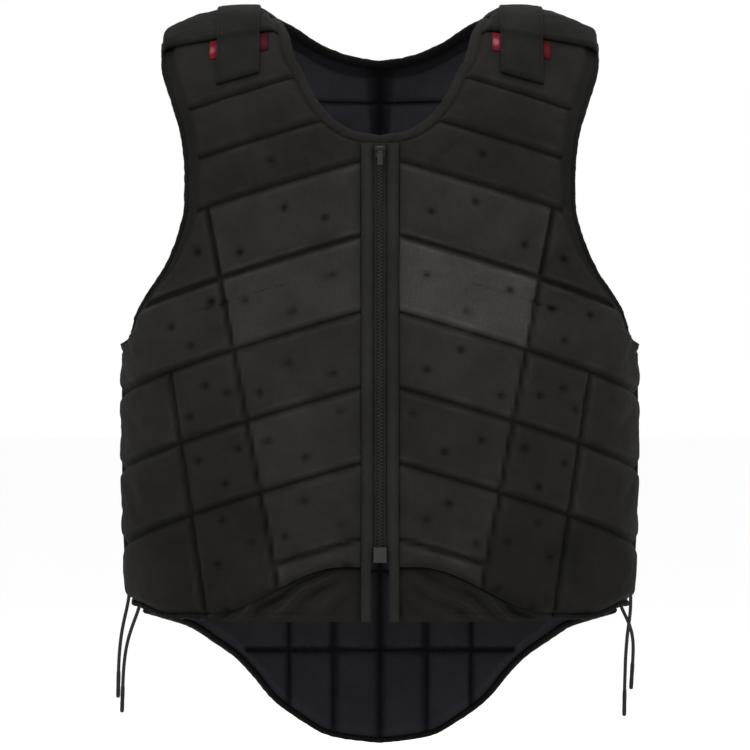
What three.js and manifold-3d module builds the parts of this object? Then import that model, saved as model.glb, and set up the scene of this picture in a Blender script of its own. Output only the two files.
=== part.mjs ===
// Equestrian body protector: a padded vest with a front zip, in the form that it has when worn.
// Millimetres, +Z up. The front faces -Y. Height 0 is where the shoulders rest.
import * as THREE from 'three';
import { mergeGeometries, mergeVertices } from 'three/addons/utils/BufferGeometryUtils.js';
import Module from 'manifold-3d';

const wasm = await Module();
wasm.setup();

// Body
const chestHalfWidth = 221;
const frontDepth = 130;
const backDepth = 118;
const chestDrop = 150;
const padEdgeDrop = 463;
const skirtHeight = 47;
const frontDrop = padEdgeDrop + skirtHeight;
const tailDrop = 104.7;
const squareness = 2.4;
const padThickness = 20;
const shoulderPadThickness = 14;
const shoulderMiddle = 115;
const shoulderSpan = 76;
const outerShoulderFall = 24;
const outerShoulderCurve = 2.2;
const innerShoulderSpan = 38;
const innerShoulderFall = 3;
const clearance = 0.3;

// Armholes and neck
const armholeDrop = 288.5;
const frontSideAngle = 93;
const backSideAngle = 73;
const neckHalfWidth = 95;
const frontNeckDrop = 114.5;
const backNeckDrop = 45;

// Blocks and channels
const channelHalfWidth = 3;
const channelDepth = 5;
const liningChannelDepth = 3;
const borderWidth = 11;
const borderDepth = 4;
const edgeDepth = 5;
const edgeTaper = 6;
const bevelWidth = 4;
const tailBevelShare = 0.05;
const chevronSlope = 0.285;
const chevronSideShare = 0.35;
const lowerChevrons = 5;
const upperChevrons = 2;
const chevronTop = 111;
const chevronPitch = 64.6;
const upperChevronPitch = 45;
const innerChannelAtChest = 150;
const innerChannelSlope = 0.19;
const outerChannelAtChest = 203;
const outerChannelSlope = 0.15;
const outerChannelRoom = 3;
const channelRoom = 5;
const innerChannelLimit = 0.8;
const backChannelPitch = 41;
const backChannelSpread = 0.86;
const backChannelLimit = 0.06;
const backRowTop = 62;
const backRowPitch = 67.9;
const lowestBackRow = 7;

// Front opening
const placketHalfWidth = 15.5;
const placketThickness = 3;
const zipHalfWidth = 5.6;
const zipThickness = 2;
const teethHalfWidth = 2.6;
const teethHeight = 1.2;
const zipTopDrop = 103;
const zipLength = 354;
const slitHalfWidth = 7.8;
const sliderLength = 10;
const sliderWidth = 8;
const sliderHeight = 3.4;
const sliderTopGap = 2;
const earThickness = 1.2;
const earHeight = 3.6;
const earRoot = 0.2;
const earTopGap = 1;
const pinRadius = 0.7;
const pinClearance = 0.35;
const pullWidth = 4.6;
const pullLength = 15;
const pullThickness = 1.6;
const eyeRadius = 1.9;
const zipBoxWidth = 11;
const zipBoxLength = 13;
const zipBoxHeight = 4;
const zipBoxOverhang = 2;
const zipBoxLift = 0.55;
const toothBevel = 0.3;
const placketSink = 0.5;
const slitLead = 8;
const placketBend = 12;

// Lower front
const padEdgeFall = 40;
const padEdgeFallFrom = 0.15;
const padEdgeFallTo = 0.68;
const padEdgeRise = 10;
const padEdgeRiseFrom = 0.85;
const skirtHalfWidth = 150;
const skirtThickness = 2.5;
const skirtDepth = 8;
const skirtFoldDepth = 1.6;

// Shoulders
const yokeThickness = 3;
const yokeLift = 0.9;
const yokeEdgeDrop = 5;
const yokeEdgeSlope = 0.16;
const yokeBackReach = 34;
const yokeInset = 3;
const tabThickness = 1.8;
const tabLift = 0.9;
const tabInner = 103;
const tabWidth = 36;
const tabDrop = 42;
const tabBackReach = 22;
const markerThickness = 1.2;
const markerWidth = 11;
const markerOverhang = 7;
const markerGap = 0.6;
const tabStepLift = 0.3;
const tabStepRun = 5;
const tabFootRun = 6;
const tabMarkerGap = 1.5;
const tabYokeGap = 1.2;

// Bindings
const neckBindingWidth = 9;
const bindingWidth = 5;
const bindingLip = 0.8;
const bindingShoulder = 0.7;
const bindingLipTaper = 0.2;

// Laced sides
const gussetThickness = 2;
const gussetDepth = 9;
const laceRadius = 1.5;
const laceSpans = 8;
const laceTapeThickness = 1.2;
const laceInset = 6;
const laceTopMargin = 14;
const laceBottomMargin = 16;
const laceTurnReach = 0.12;
const gussetTopGap = 1;
const gussetBottomGap = 3;
const laceTapeMargin = 4;
const laceTapeWidth = 11;
const laceTapeLip = 1;
const tipRadius = 2;
const tipLength = 21;

// Share of the way down from the chest to the tail's tip, then shares of the width and depths.
const sections = [
  { down: 0.00, width: 1.000, front: 1.000, back: 1.000 },
  { down: 0.25, width: 1.003, front: 0.995, back: 0.965 },
  { down: 0.50, width: 1.003, front: 0.985, back: 0.960 },
  { down: 0.70, width: 0.990, front: 0.965, back: 1.000 },
  { down: 0.85, width: 0.975, front: 0.950, back: 1.045 },
  { down: 1.00, width: 0.965, front: 0.940, back: 1.080 },
];

// Share of the armhole's drop, then the edge's angle round the body from the front or back centre.
const frontArmhole = [
  { down: 0.000, angle: 55.0 },
  { down: 0.140, angle: 55.0 },
  { down: 0.265, angle: 50.5 },
  { down: 0.380, angle: 46.4 },
  { down: 0.500, angle: 45.2 },
  { down: 0.590, angle: 45.4 },
  { down: 0.660, angle: 47.3 },
  { down: 0.725, angle: 50.5 },
  { down: 0.785, angle: 55.0 },
  { down: 0.845, angle: 62.5 },
  { down: 0.908, angle: 71.6 },
  { down: 0.967, angle: 79.0 },
  { down: 0.990, angle: 84.5 },
  { down: 1.000, angle: frontSideAngle },
];
const backArmhole = [
  { down: 0.00, angle: 55.0 },
  { down: 0.14, angle: 55.0 },
  { down: 0.265, angle: 50.0 },
  { down: 0.38, angle: 46.0 },
  { down: 0.50, angle: 44.5 },
  { down: 0.59, angle: 45.0 },
  { down: 0.68, angle: 47.0 },
  { down: 0.76, angle: 50.5 },
  { down: 0.83, angle: 54.0 },
  { down: 0.89, angle: 58.0 },
  { down: 0.94, angle: 62.5 },
  { down: 0.98, angle: 68.0 },
  { down: 1.00, angle: backSideAngle },
];

// Share of the neck's drop, then share of its half width.
const frontNeck = [
  { down: 0.000, out: 1.000 },
  { down: 0.130, out: 0.920 },
  { down: 0.360, out: 0.853 },
  { down: 0.445, out: 0.790 },
  { down: 0.620, out: 0.700 },
  { down: 0.850, out: 0.495 },
  { down: 0.975, out: 0.237 },
  { down: 1.000, out: 0.000 },
];
const backNeck = [
  { down: 0.00, out: 1.000 },
  { down: 0.22, out: 0.830 },
  { down: 0.42, out: 0.716 },
  { down: 0.62, out: 0.590 },
  { down: 0.83, out: 0.390 },
  { down: 0.96, out: 0.190 },
  { down: 1.00, out: 0.000 },
];

// Share of the body's half width, then share of the tail's drop.
const tailEdge = [
  { out: 0.00, drop: 1.000 },
  { out: 0.19, drop: 0.945 },
  { out: 0.33, drop: 0.790 },
  { out: 0.43, drop: 0.630 },
  { out: 0.50, drop: 0.450 },
  { out: 0.58, drop: 0.280 },
  { out: 0.67, drop: 0.150 },
  { out: 0.76, drop: 0.030 },
  { out: 0.85, drop: -0.030 },
  { out: 1.00, drop: -0.120 },
];

// Rows next to the lowest channel of the front: channel half widths below it, then the share of the
// way from the lower edge to the next channel that the row keeps above.
const lowestFrontRows = [
  { below: 1, up: 0.30 },
  { below: 0, up: 0.38 },
  { below: -1, up: 0.46 },
];

// Extra rows of the front where its edges curve: the channel below, then the share of the way to the next.
const extraFrontRows = [
  { above: 2, up: 0.636 },
  { above: 2, up: 0.721 },
  { above: 2, up: 0.830 },
  { above: 1, up: 0.500 },
  { above: 0, up: 0.300 },
  { above: 0, up: 0.550 },
  { above: -1, up: 0.500 },
];
const frontTopRows = [0.33, 0.67, 1];

// Rows of the tail, as the lowest rows of the front, and extra rows of the back at the armhole.
const tailRows = [
  { below: 1, up: 0.45 },
  { below: 0, up: 0.52 },
  { below: -1, up: 0.60 },
];
const extraBackRows = [
  { above: 3, up: 0.12 },
  { above: 3, up: 0.30 },
];
const backNeckRows = [0.5, 1];
const backShoulderRows = [0.06, 0.16, 0.38, 0.7, 1];
const backSideColumns = [0.28, 0.53, 0.78];

// Rows of the tab over the yoke, as shares of the way from the top of the shoulder to the yoke's edge.
const tabShares = [0.7, 0.45, 0.22, 0];

function radians(degrees) {
  return degrees * Math.PI / 180;
}

function mix(from, to, share) {
  return from + (to - from) * share;
}

function smoothStep(from, to, value) {
  const share = Math.min(1, Math.max(0, (value - from) / (to - from)));
  return share * share * (3 - 2 * share);
}

function signedPower(value, power) {
  return Math.sign(value) * Math.abs(value) ** power;
}

// Reads a table's column at a key, on a curve that never overshoots its rows.
function readTable(table, key, column, at) {
  const last = table.length - 1;
  if (at <= table[0][key]) return table[0][column];
  if (at >= table[last][key]) return table[last][column];
  const slope = (i) => (table[i + 1][column] - table[i][column]) / (table[i + 1][key] - table[i][key]);
  const tangent = (i) => {
    if (i === 0) return slope(0);
    if (i === last) return slope(last - 1);
    const before = slope(i - 1);
    const after = slope(i);
    return before * after <= 0 ? 0 : 2 * before * after / (before + after);
  };
  const i = table.findIndex((row, n) => n < last && at < table[n + 1][key]);
  const span = table[i + 1][key] - table[i][key];
  const t = (at - table[i][key]) / span;
  const start = table[i][column];
  const end = table[i + 1][column];
  return start * (1 + 2 * t) * (1 - t) ** 2 + end * t * t * (3 - 2 * t)
    + span * (tangent(i) * t * (1 - t) ** 2 - tangent(i + 1) * t * t * (1 - t));
}

// The vest's outer cloth. The angle runs from the centre of the front or back to the side, and
// the level is the height up to the chest and the length of the curve over the shoulder above it.
const chestLevel = -chestDrop;
const bottomLevel = -(frontDrop + tailDrop);
const sideTop = shoulderPadThickness - armholeDrop;

function sectionAt(level) {
  const down = Math.max(0, (chestLevel - level) / (chestLevel - bottomLevel));
  return {
    width: chestHalfWidth * readTable(sections, 'down', 'width', down),
    front: frontDepth * readTable(sections, 'down', 'front', down),
    back: backDepth * readTable(sections, 'down', 'back', down),
  };
}

function shoulderHeight(x) {
  const out = Math.abs(x) - shoulderMiddle;
  const fall = out > 0
    ? outerShoulderFall * (out / shoulderSpan) ** outerShoulderCurve
    : innerShoulderFall * (out / innerShoulderSpan) ** 2;
  return shoulderPadThickness - fall;
}

function riseAt(x) {
  return shoulderHeight(x) - chestLevel;
}

function topLevel(x) {
  return chestLevel + riseAt(x) * Math.PI / 2;
}

function outAt(angle, level) {
  return sectionAt(level).width * signedPower(Math.sin(angle), 2 / squareness);
}

function angleAt(x, level) {
  return Math.asin(Math.min(1, Math.abs(x) / sectionAt(level).width) ** (squareness / 2));
}

function heightAt(angle, level) {
  if (level <= chestLevel) return level;
  const rise = riseAt(outAt(angle, level));
  return chestLevel + rise * Math.sin((level - chestLevel) / rise);
}

function levelAt(height, x) {
  if (height <= chestLevel) return height;
  const rise = riseAt(x);
  return chestLevel + rise * Math.asin(Math.min(1, (height - chestLevel) / rise));
}

function clothPoint(face, angle, level) {
  const section = sectionAt(level);
  const ahead = Math.cos(angle) > 0 ? face : -face;
  const depth = ahead > 0 ? section.front : section.back;
  const x = section.width * signedPower(Math.sin(angle), 2 / squareness);
  const y = -ahead * depth * Math.abs(Math.cos(angle)) ** (2 / squareness);
  if (level <= chestLevel) return new THREE.Vector3(x, y, level);
  const rise = riseAt(x);
  const turn = (level - chestLevel) / rise;
  return new THREE.Vector3(x, y * Math.cos(turn), chestLevel + rise * Math.sin(turn));
}

function clothNormal(face, angle, level) {
  const step = 0.002;
  const along = clothPoint(face, angle + step, level).sub(clothPoint(face, angle - step, level));
  const up = clothPoint(face, angle, level + 0.2).sub(clothPoint(face, angle, level - 0.2));
  return along.cross(up).multiplyScalar(face).normalize();
}

function offsetPoint(face, angle, level, offset) {
  return clothPoint(face, angle, level).addScaledVector(clothNormal(face, angle, level), offset);
}

function angleStep(face, angle, level, length) {
  const step = 0.01;
  const run = clothPoint(face, angle + step, level).distanceTo(clothPoint(face, angle - step, level));
  return length * 2 * step / run;
}

function thicknessAt(level) {
  return mix(padThickness, shoulderPadThickness, smoothStep(chestLevel, chestLevel + chestDrop, level));
}

// Finds the angle where a row meets a line that is given as an angle for each height.
function meet(rowLevel, lineAngle, limit) {
  const excess = (angle) => angle - lineAngle(heightAt(angle, rowLevel(angle)));
  const steps = 60;
  let low = 0;
  let high = limit;
  for (let n = 1; n <= steps; n += 1) {
    const angle = limit * n / steps;
    if (excess(angle) >= 0) {
      high = angle;
      break;
    }
    low = angle;
  }
  for (let n = 0; n < 24; n += 1) {
    const middle = (low + high) / 2;
    if (excess(middle) >= 0) high = middle;
    else low = middle;
  }
  return high;
}

// Edge lines
function armholeAngle(table, height) {
  return radians(readTable(table, 'down', 'angle', (shoulderPadThickness - height) / armholeDrop));
}

function neckOut(table, drop, height) {
  const down = (shoulderPadThickness - height) / drop;
  return down >= 1 ? 0 : neckHalfWidth * readTable(table, 'down', 'out', down);
}

function padEdgeHeight(x) {
  const out = Math.abs(x) / chestHalfWidth;
  const fall = padEdgeFall * smoothStep(padEdgeFallFrom, padEdgeFallTo, out);
  return -padEdgeDrop - fall + padEdgeRise * smoothStep(padEdgeRiseFrom, 1, out);
}

function tailEdgeHeight(x) {
  return -frontDrop - tailDrop * readTable(tailEdge, 'out', 'drop', Math.abs(x) / chestHalfWidth);
}

function chevronFall(angle) {
  const x = chestHalfWidth * Math.sin(angle) ** (2 / squareness);
  const y = frontDepth * signedPower(Math.cos(angle), 2 / squareness);
  return chevronSlope * (x + chevronSideShare * (frontDepth - y));
}

// Rows of a panel's grid: the level at an angle, and what the row is.
function frontRows() {
  const rows = [];
  const bottom = (angle) => padEdgeHeight(chestHalfWidth * Math.sin(angle) ** (2 / squareness));
  const chevron = (drop) => (angle) => {
    const x = outAt(angle, chestLevel);
    return levelAt(-drop - chevronFall(angle), x);
  };
  const lowest = chevronTop + lowerChevrons * chevronPitch;
  rows.push({ level: bottom, edge: true });
  rows.push({ level: (angle) => bottom(angle) + bevelWidth });
  lowestFrontRows.forEach(({ below, up }) => rows.push({
    level: (angle) => {
      const floor = mix(bottom(angle), chevron(lowest - chevronPitch)(angle), up);
      return Math.max(chevron(lowest + below * channelHalfWidth)(angle), floor);
    },
    channel: below === 0,
    innerOnly: true,
  }));
  for (let n = lowerChevrons - 1; n >= -upperChevrons; n -= 1) {
    const drop = chevronTop + n * (n >= 0 ? chevronPitch : upperChevronPitch);
    const toNext = n > 0 ? chevronPitch : upperChevronPitch;
    rows.push({ level: chevron(drop + channelHalfWidth) });
    rows.push({ level: chevron(drop), channel: true, number: n });
    rows.push({ level: chevron(drop - channelHalfWidth) });
    extraFrontRows.filter(({ above }) => above === n)
      .forEach(({ up }) => rows.push({ level: chevron(drop - toNext * up) }));
  }
  const upper = chevron(chevronTop - upperChevrons * upperChevronPitch - channelHalfWidth);
  frontTopRows.forEach((share) => {
    rows.push({
      level: (angle) => mix(upper(angle), topLevel(outAt(angle, chestLevel)) - clearance, share),
      edge: share === 1,
    });
  });
  const marker = (number) => rows.findIndex((row) => row.number === number);
  const chest = marker(0);
  const waist = marker(2);
  rows.forEach((row, n) => {
    row.innerChannel = n <= chest;
    row.outerChannel = n <= waist;
  });
  return rows;
}

function backRows() {
  const rows = [];
  const bottom = (angle, level) => tailEdgeHeight(outAt(angle, level));
  const tailChannel = backRowTop + lowestBackRow * backRowPitch;
  const tailTop = tailChannel - backRowPitch + 3 * channelHalfWidth;
  const tailRow = (share) => (angle) => mix(bottom(angle, -frontDrop), -tailTop, share);
  rows.push({ level: tailRow(0), edge: true });
  rows.push({ level: tailRow(tailBevelShare) });
  tailRows.forEach(({ below, up }) => rows.push({
    level: (angle) => Math.max(-tailChannel - below * channelHalfWidth, tailRow(up)(angle)),
    channel: below === 0,
  }));
  const atHeight = (height) => (angle) => levelAt(height, outAt(angle, chestLevel));
  for (let n = lowestBackRow - 1; n >= 0; n -= 1) {
    const height = -backRowTop - n * backRowPitch;
    rows.push({ level: atHeight(height - channelHalfWidth) });
    rows.push({ level: atHeight(height), channel: true });
    rows.push({ level: atHeight(height + channelHalfWidth) });
    extraBackRows.filter(({ above }) => above === n)
      .forEach(({ up }) => rows.push({ level: atHeight(height + up * backRowPitch) }));
    const next = height + backRowPitch - channelHalfWidth;
    const holdsSideTop = sideTop > height + channelHalfWidth && sideTop < next;
    if (holdsSideTop) rows.push({ level: () => sideTop - clearance });
  }
  const upper = backRowTop - channelHalfWidth;
  const neckBottom = backNeckDrop - shoulderPadThickness;
  backNeckRows.forEach((share) => rows.push({ level: atHeight(mix(-upper, -neckBottom, share)) }));
  backShoulderRows.forEach((share) => rows.push({
    level: (angle) => {
      const x = outAt(angle, chestLevel);
      return mix(levelAt(-neckBottom, x), topLevel(x) - clearance, share);
    },
    edge: share === 1,
  }));
  return rows;
}

// Columns of one row: the angle, and what the column is.
function frontColumns(row) {
  const limit = radians(frontSideAngle);
  const start = meet(row.level, (height) => {
    const out = Math.max(placketHalfWidth, neckOut(frontNeck, frontNeckDrop, height));
    return angleAt(out, Math.min(height, chestLevel));
  }, limit);
  const end = meet(row.level, (height) => armholeAngle(frontArmhole, height), limit);
  const inner = meet(row.level, (height) => {
    const out = innerChannelAtChest + innerChannelSlope * (height - chestLevel);
    return angleAt(out, Math.min(height, chestLevel));
  }, limit);
  const outer = meet(row.level, (height) => {
    const out = outerChannelAtChest + outerChannelSlope * (height - chestLevel);
    return angleAt(out, Math.min(height, chestLevel));
  }, limit);
  const step = (angle, length) => angleStep(1, angle, row.level(angle), length);
  const border = end - step(end, borderWidth);
  const bevel = border - step(border, bevelWidth);
  const first = start + step(start, bevelWidth);
  const half = step(border, channelHalfWidth);
  const outerMiddle = Math.min(outer, bevel - outerChannelRoom * half);
  const widest = mix(first, bevel, innerChannelLimit);
  const innerMiddle = Math.min(inner, outerMiddle - channelRoom * half, widest);
  const columns = [{ angle: start, edge: true }, { angle: first }];
  const between = (from, to, count) => {
    for (let n = 1; n <= count; n += 1) columns.push({ angle: mix(from, to, n / (count + 1)) });
  };
  const channel = (angle, name) => {
    const width = step(angle, channelHalfWidth);
    columns.push({ angle: angle - width });
    columns.push({ angle, [name]: true });
    columns.push({ angle: angle + width });
  };
  between(first, innerMiddle, 1);
  channel(innerMiddle, 'inner');
  between(innerMiddle, outerMiddle, 1);
  channel(outerMiddle, 'outer');
  between(outerMiddle, bevel, 2);
  columns.push({ angle: bevel });
  columns.push({ angle: border, border: true });
  columns.push({ angle: end, edge: true });
  return columns;
}

function backColumns(row) {
  const limit = radians(backSideAngle);
  const start = meet(row.level, (height) => {
    const out = neckOut(backNeck, backNeckDrop, height);
    return angleAt(out, Math.min(height, chestLevel));
  }, limit);
  const open = start < 0.001;
  const end = meet(row.level, (height) => armholeAngle(backArmhole, height), limit);
  const step = (angle, length) => angleStep(-1, angle, row.level(angle), length);
  const border = end - step(end, borderWidth);
  const bevel = border - step(border, bevelWidth);
  const width = angleAt(channelHalfWidth, Math.min(row.level(0), chestLevel));
  const first = open ? width : start + step(start, bevelWidth);
  const columns = [{ angle: open ? 0 : start, edge: !open, spine: open }, { angle: first }];
  const lines = [backChannelPitch, 2 * backChannelPitch];
  const shares = lines.map((out) => out / chestHalfWidth / backChannelSpread);
  lines.forEach((out, n) => {
    const place = angleAt(out, Math.min(row.level(0), chestLevel));
    const middle = open ? Math.min(place, mix(first, bevel, shares[n])) : mix(first, bevel, shares[n]);
    const half = Math.min(step(middle, channelHalfWidth), (bevel - first) * backChannelLimit);
    columns.push({ angle: middle - half });
    columns.push({ angle: middle, pitch: open });
    columns.push({ angle: middle + half });
  });
  const lastAngle = columns[columns.length - 1].angle;
  backSideColumns.forEach((share) => columns.push({ angle: mix(lastAngle, bevel, share) }));
  columns.push({ angle: bevel });
  columns.push({ angle: border, border: true });
  columns.push({ angle: end, edge: true });
  return columns;
}

// A panel's grid: each point of its outer and inner side, with the frame of the cloth there.
function panelGrid(face, rows, columnsOf) {
  return rows.map((row) => {
    const columns = columnsOf(row);
    const innerIndex = columns.findIndex((column) => column.inner);
    return columns.map((column, n) => {
      const level = row.level(column.angle);
      const point = clothPoint(face, column.angle, level);
      const normal = clothNormal(face, column.angle, level);
      let depth = 0;
      let lining = 0;
      if (row.channel && !(row.innerOnly && n > innerIndex)) {
        depth = channelDepth;
        lining = liningChannelDepth;
      }
      const sewn = (column.inner && row.innerChannel) || (column.outer && row.outerChannel)
        || column.spine || column.pitch;
      if (sewn) {
        depth = channelDepth;
        lining = liningChannelDepth;
      }
      if (column.border) depth = Math.max(depth, borderDepth);
      if (column.edge || row.edge) {
        depth = edgeDepth;
        lining = edgeTaper;
      }
      if (face > 0 && !column.edge && !row.edge) lining = 0;
      const inner = -thicknessAt(level) + lining;
      return {
        level,
        angle: column.angle,
        point,
        normal,
        outer: point.clone().addScaledVector(normal, -depth),
        inner: point.clone().addScaledVector(normal, inner),
      };
    });
  });
}

function faceIndices(count, rows, columns) {
  const at = (row, column) => row * columns + column;
  const faces = [];
  for (let row = 0; row < rows - 1; row += 1) {
    for (let column = 0; column < columns - 1; column += 1) {
      const a = at(row, column);
      const b = at(row, column + 1);
      const c = at(row + 1, column + 1);
      const d = at(row + 1, column);
      faces.push([a, b, c], [a, c, d]);
      faces.push([a + count, c + count, b + count], [a + count, d + count, c + count]);
    }
  }
  return faces;
}

// Closes a grid of outer and inner points into a solid. Its first column stays open where told.
function gridSolid(grid, isOpen = () => false) {
  const rows = grid.length;
  const columns = grid[0].length;
  const points = grid.flat();
  const count = points.length;
  const positions = [...points.map((p) => p.outer), ...points.map((p) => p.inner)];
  const faces = faceIndices(count, rows, columns);
  const wall = (from, to) => {
    faces.push([from, from + count, to + count], [from, to + count, to]);
  };
  for (let column = 0; column < columns - 1; column += 1) {
    wall(column, column + 1);
    wall((rows - 1) * columns + column + 1, (rows - 1) * columns + column);
  }
  for (let row = 0; row < rows - 1; row += 1) {
    wall((row + 1) * columns - 1, (row + 2) * columns - 1);
    if (!isOpen(row)) wall((row + 1) * columns, row * columns);
  }
  return geometryFrom(positions, faces);
}

function geometryFrom(positions, faces) {
  const geometry = new THREE.BufferGeometry();
  const numbers = positions.flatMap((p) => p.toArray());
  geometry.setAttribute('position', new THREE.Float32BufferAttribute(numbers, 3));
  geometry.setIndex(faces.flat());
  return geometry;
}

function flipped(geometry) {
  const index = geometry.getIndex().array;
  for (let n = 0; n < index.length; n += 3) [index[n], index[n + 1]] = [index[n + 1], index[n]];
  return geometry;
}

function mirrored(geometry) {
  return flipped(geometry.clone().scale(-1, 1, 1));
}

// A bead along a panel's edge, made from the edge's own points so that it follows every facet.
// Its end stays open where its mirror image is to join it at the middle of the body.
function edgeBead(edge, inward, width, openEnd = '') {
  const sections = edge.map((spot, n) => {
    const before = edge[Math.max(0, n - 1)].outer;
    const after = edge[Math.min(edge.length - 1, n + 1)].outer;
    const along = after.clone().sub(before).normalize();
    const out = along.clone().cross(spot.normal).normalize();
    if (out.dot(spot.outer.clone().sub(inward[n].outer)) < 0) out.negate();
    if (Math.abs(spot.point.x) <= clearance + 0.001) out.setX(0).normalize();
    if (spot.level > 0 && Math.abs(spot.point.y) < 1) out.setY(0).normalize();
    const place = (corner, reach, lip) => corner.clone()
      .addScaledVector(out, reach).addScaledVector(spot.normal, lip);
    const middle = spot.outer.clone().add(spot.inner).multiplyScalar(0.5);
    return [
      place(spot.inner, clearance, -bindingLip),
      place(spot.outer, clearance, bindingLip),
      place(spot.outer, clearance + bindingShoulder * width, -bindingLipTaper * bindingLip),
      place(middle, clearance + width, 0),
      place(spot.inner, clearance + bindingShoulder * width, bindingLipTaper * bindingLip),
    ];
  });
  return sweep(sections, openEnd);
}

function sweep(sections, openEnd) {
  const sides = sections[0].length;
  const faces = [];
  for (let n = 0; n < sections.length - 1; n += 1) {
    for (let side = 0; side < sides; side += 1) {
      const next = (side + 1) % sides;
      const a = n * sides + side;
      const b = n * sides + next;
      faces.push([a, a + sides, b], [b, a + sides, b + sides]);
    }
  }
  const last = (sections.length - 1) * sides;
  for (let side = 1; side < sides - 1; side += 1) {
    if (openEnd !== 'first') faces.push([0, side, side + 1]);
    if (openEnd !== 'last') faces.push([last, last + side + 1, last + side]);
  }
  const geometry = geometryFrom(sections.flat(), faces);
  return signedVolume(geometry) < 0 ? flipped(geometry) : geometry;
}

// Joins the right half of a shape to its mirror image.
function doubled(half) {
  return mergeVertices(mergeGeometries([half, mirrored(half)]), 1e-3);
}

function signedVolume(geometry) {
  const position = geometry.getAttribute('position');
  const index = geometry.getIndex().array;
  const corner = (n) => new THREE.Vector3().fromBufferAttribute(position, index[n]);
  let volume = 0;
  for (let n = 0; n < index.length; n += 3) {
    volume += corner(n).dot(corner(n + 1).cross(corner(n + 2))) / 6;
  }
  return volume;
}

// Leaves only the corners of a shape, each once.
function cornersOnly(geometry) {
  const bare = geometry.clone();
  bare.deleteAttribute('normal');
  bare.deleteAttribute('uv');
  return mergeVertices(bare, 1e-4);
}

// Booleans for the small hard pieces
function toSolid(geometry) {
  const merged = cornersOnly(geometry);
  return new wasm.Manifold(new wasm.Mesh({
    numProp: 3,
    vertProperties: new Float32Array(merged.getAttribute('position').array),
    triVerts: new Uint32Array(merged.getIndex().array),
  }));
}

function fromSolid(solid) {
  const mesh = solid.getMesh();
  const geometry = new THREE.BufferGeometry();
  geometry.setAttribute('position', new THREE.BufferAttribute(new Float32Array(mesh.vertProperties), 3));
  geometry.setIndex(new THREE.BufferAttribute(new Uint32Array(mesh.triVerts), 1));
  return geometry;
}

const vest = new THREE.Group();

const colours = {
  front: { color: 0x272524, roughness: 0.85, metalness: 0 },
  back: { color: 0x1c1c20, roughness: 0.85, metalness: 0 },
  binding: { color: 0x151513, roughness: 0.75, metalness: 0 },
  yoke: { color: 0x24231f, roughness: 0.85, metalness: 0 },
  zip: { color: 0x21211f, roughness: 0.6, metalness: 0 },
  metal: { color: 0x3c3b3a, roughness: 0.4, metalness: 0.8 },
  marker: { color: 0xb01e34, roughness: 0.6, metalness: 0 },
  lace: { color: 0x1a1a1a, roughness: 0.8, metalness: 0 },
};

function named(name, geometry, colour) {
  geometry.computeVertexNormals();
  const mesh = new THREE.Mesh(geometry, new THREE.MeshStandardMaterial(colours[colour]));
  mesh.name = name;
  return mesh;
}

function add(name, geometry, colour) {
  const mesh = named(name, geometry, colour);
  vest.add(mesh);
  return mesh;
}

// Adds a right-hand piece and its mirror image.
function addPair(name, geometry, colour) {
  add(`${name}_right`, geometry, colour);
  add(`${name}_left`, mirrored(geometry), colour);
}

const rightFront = panelGrid(1, frontRows(), frontColumns);
const rightBack = panelGrid(-1, backRows(), backColumns);
const frontEnds = rightFront.map((row) => row[row.length - 1]);
const frontStarts = rightFront.map((row) => row[0]);
const backEnds = rightBack.map((row) => row[row.length - 1]);
const backStarts = rightBack.map((row) => row[0]);
const neckFoot = frontStarts.findIndex((spot) => spot.point.x > placketHalfWidth + 0.1) - 1;
const placketTop = frontStarts[neckFoot].point.z;
const hemLevel = -frontDrop;
const zipBottom = -zipTopDrop - zipLength;

// A spot on the front at a distance out from the centre and a height.
function frontSpot(x, height, outerOffset, innerOffset) {
  const side = Math.sign(x) || 1;
  const angle = side * angleAt(x, Math.min(height, chestLevel));
  const level = levelAt(height, x);
  return spotAt(1, angle, level, outerOffset, innerOffset);
}

function spotAt(face, angle, level, outerOffset, innerOffset) {
  const point = clothPoint(face, angle, level);
  const normal = clothNormal(face, angle, level);
  return {
    angle,
    level,
    point,
    normal,
    outer: point.clone().addScaledVector(normal, outerOffset),
    inner: point.clone().addScaledVector(normal, innerOffset),
  };
}

// A spot on the straight line from one spot to another.
function spotBetween(from, to, share) {
  const along = (key) => from[key].clone().lerp(to[key], share);
  return {
    angle: mix(from.angle, to.angle, share),
    level: mix(from.level, to.level, share),
    point: along('point'),
    normal: along('normal'),
    outer: along('outer'),
    inner: along('inner'),
  };
}

function evenly(from, to, count) {
  return Array.from({ length: count + 1 }, (unused, n) => mix(from, to, n / count));
}

function addPanels() {
  addPair('front_panel', gridSolid(rightFront), 'front');
  const isSpine = (row) => rightBack[row][0].angle === 0 && rightBack[row + 1][0].angle === 0;
  add('back_panel', doubled(flipped(gridSolid(rightBack, isSpine))), 'back');
}

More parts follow.
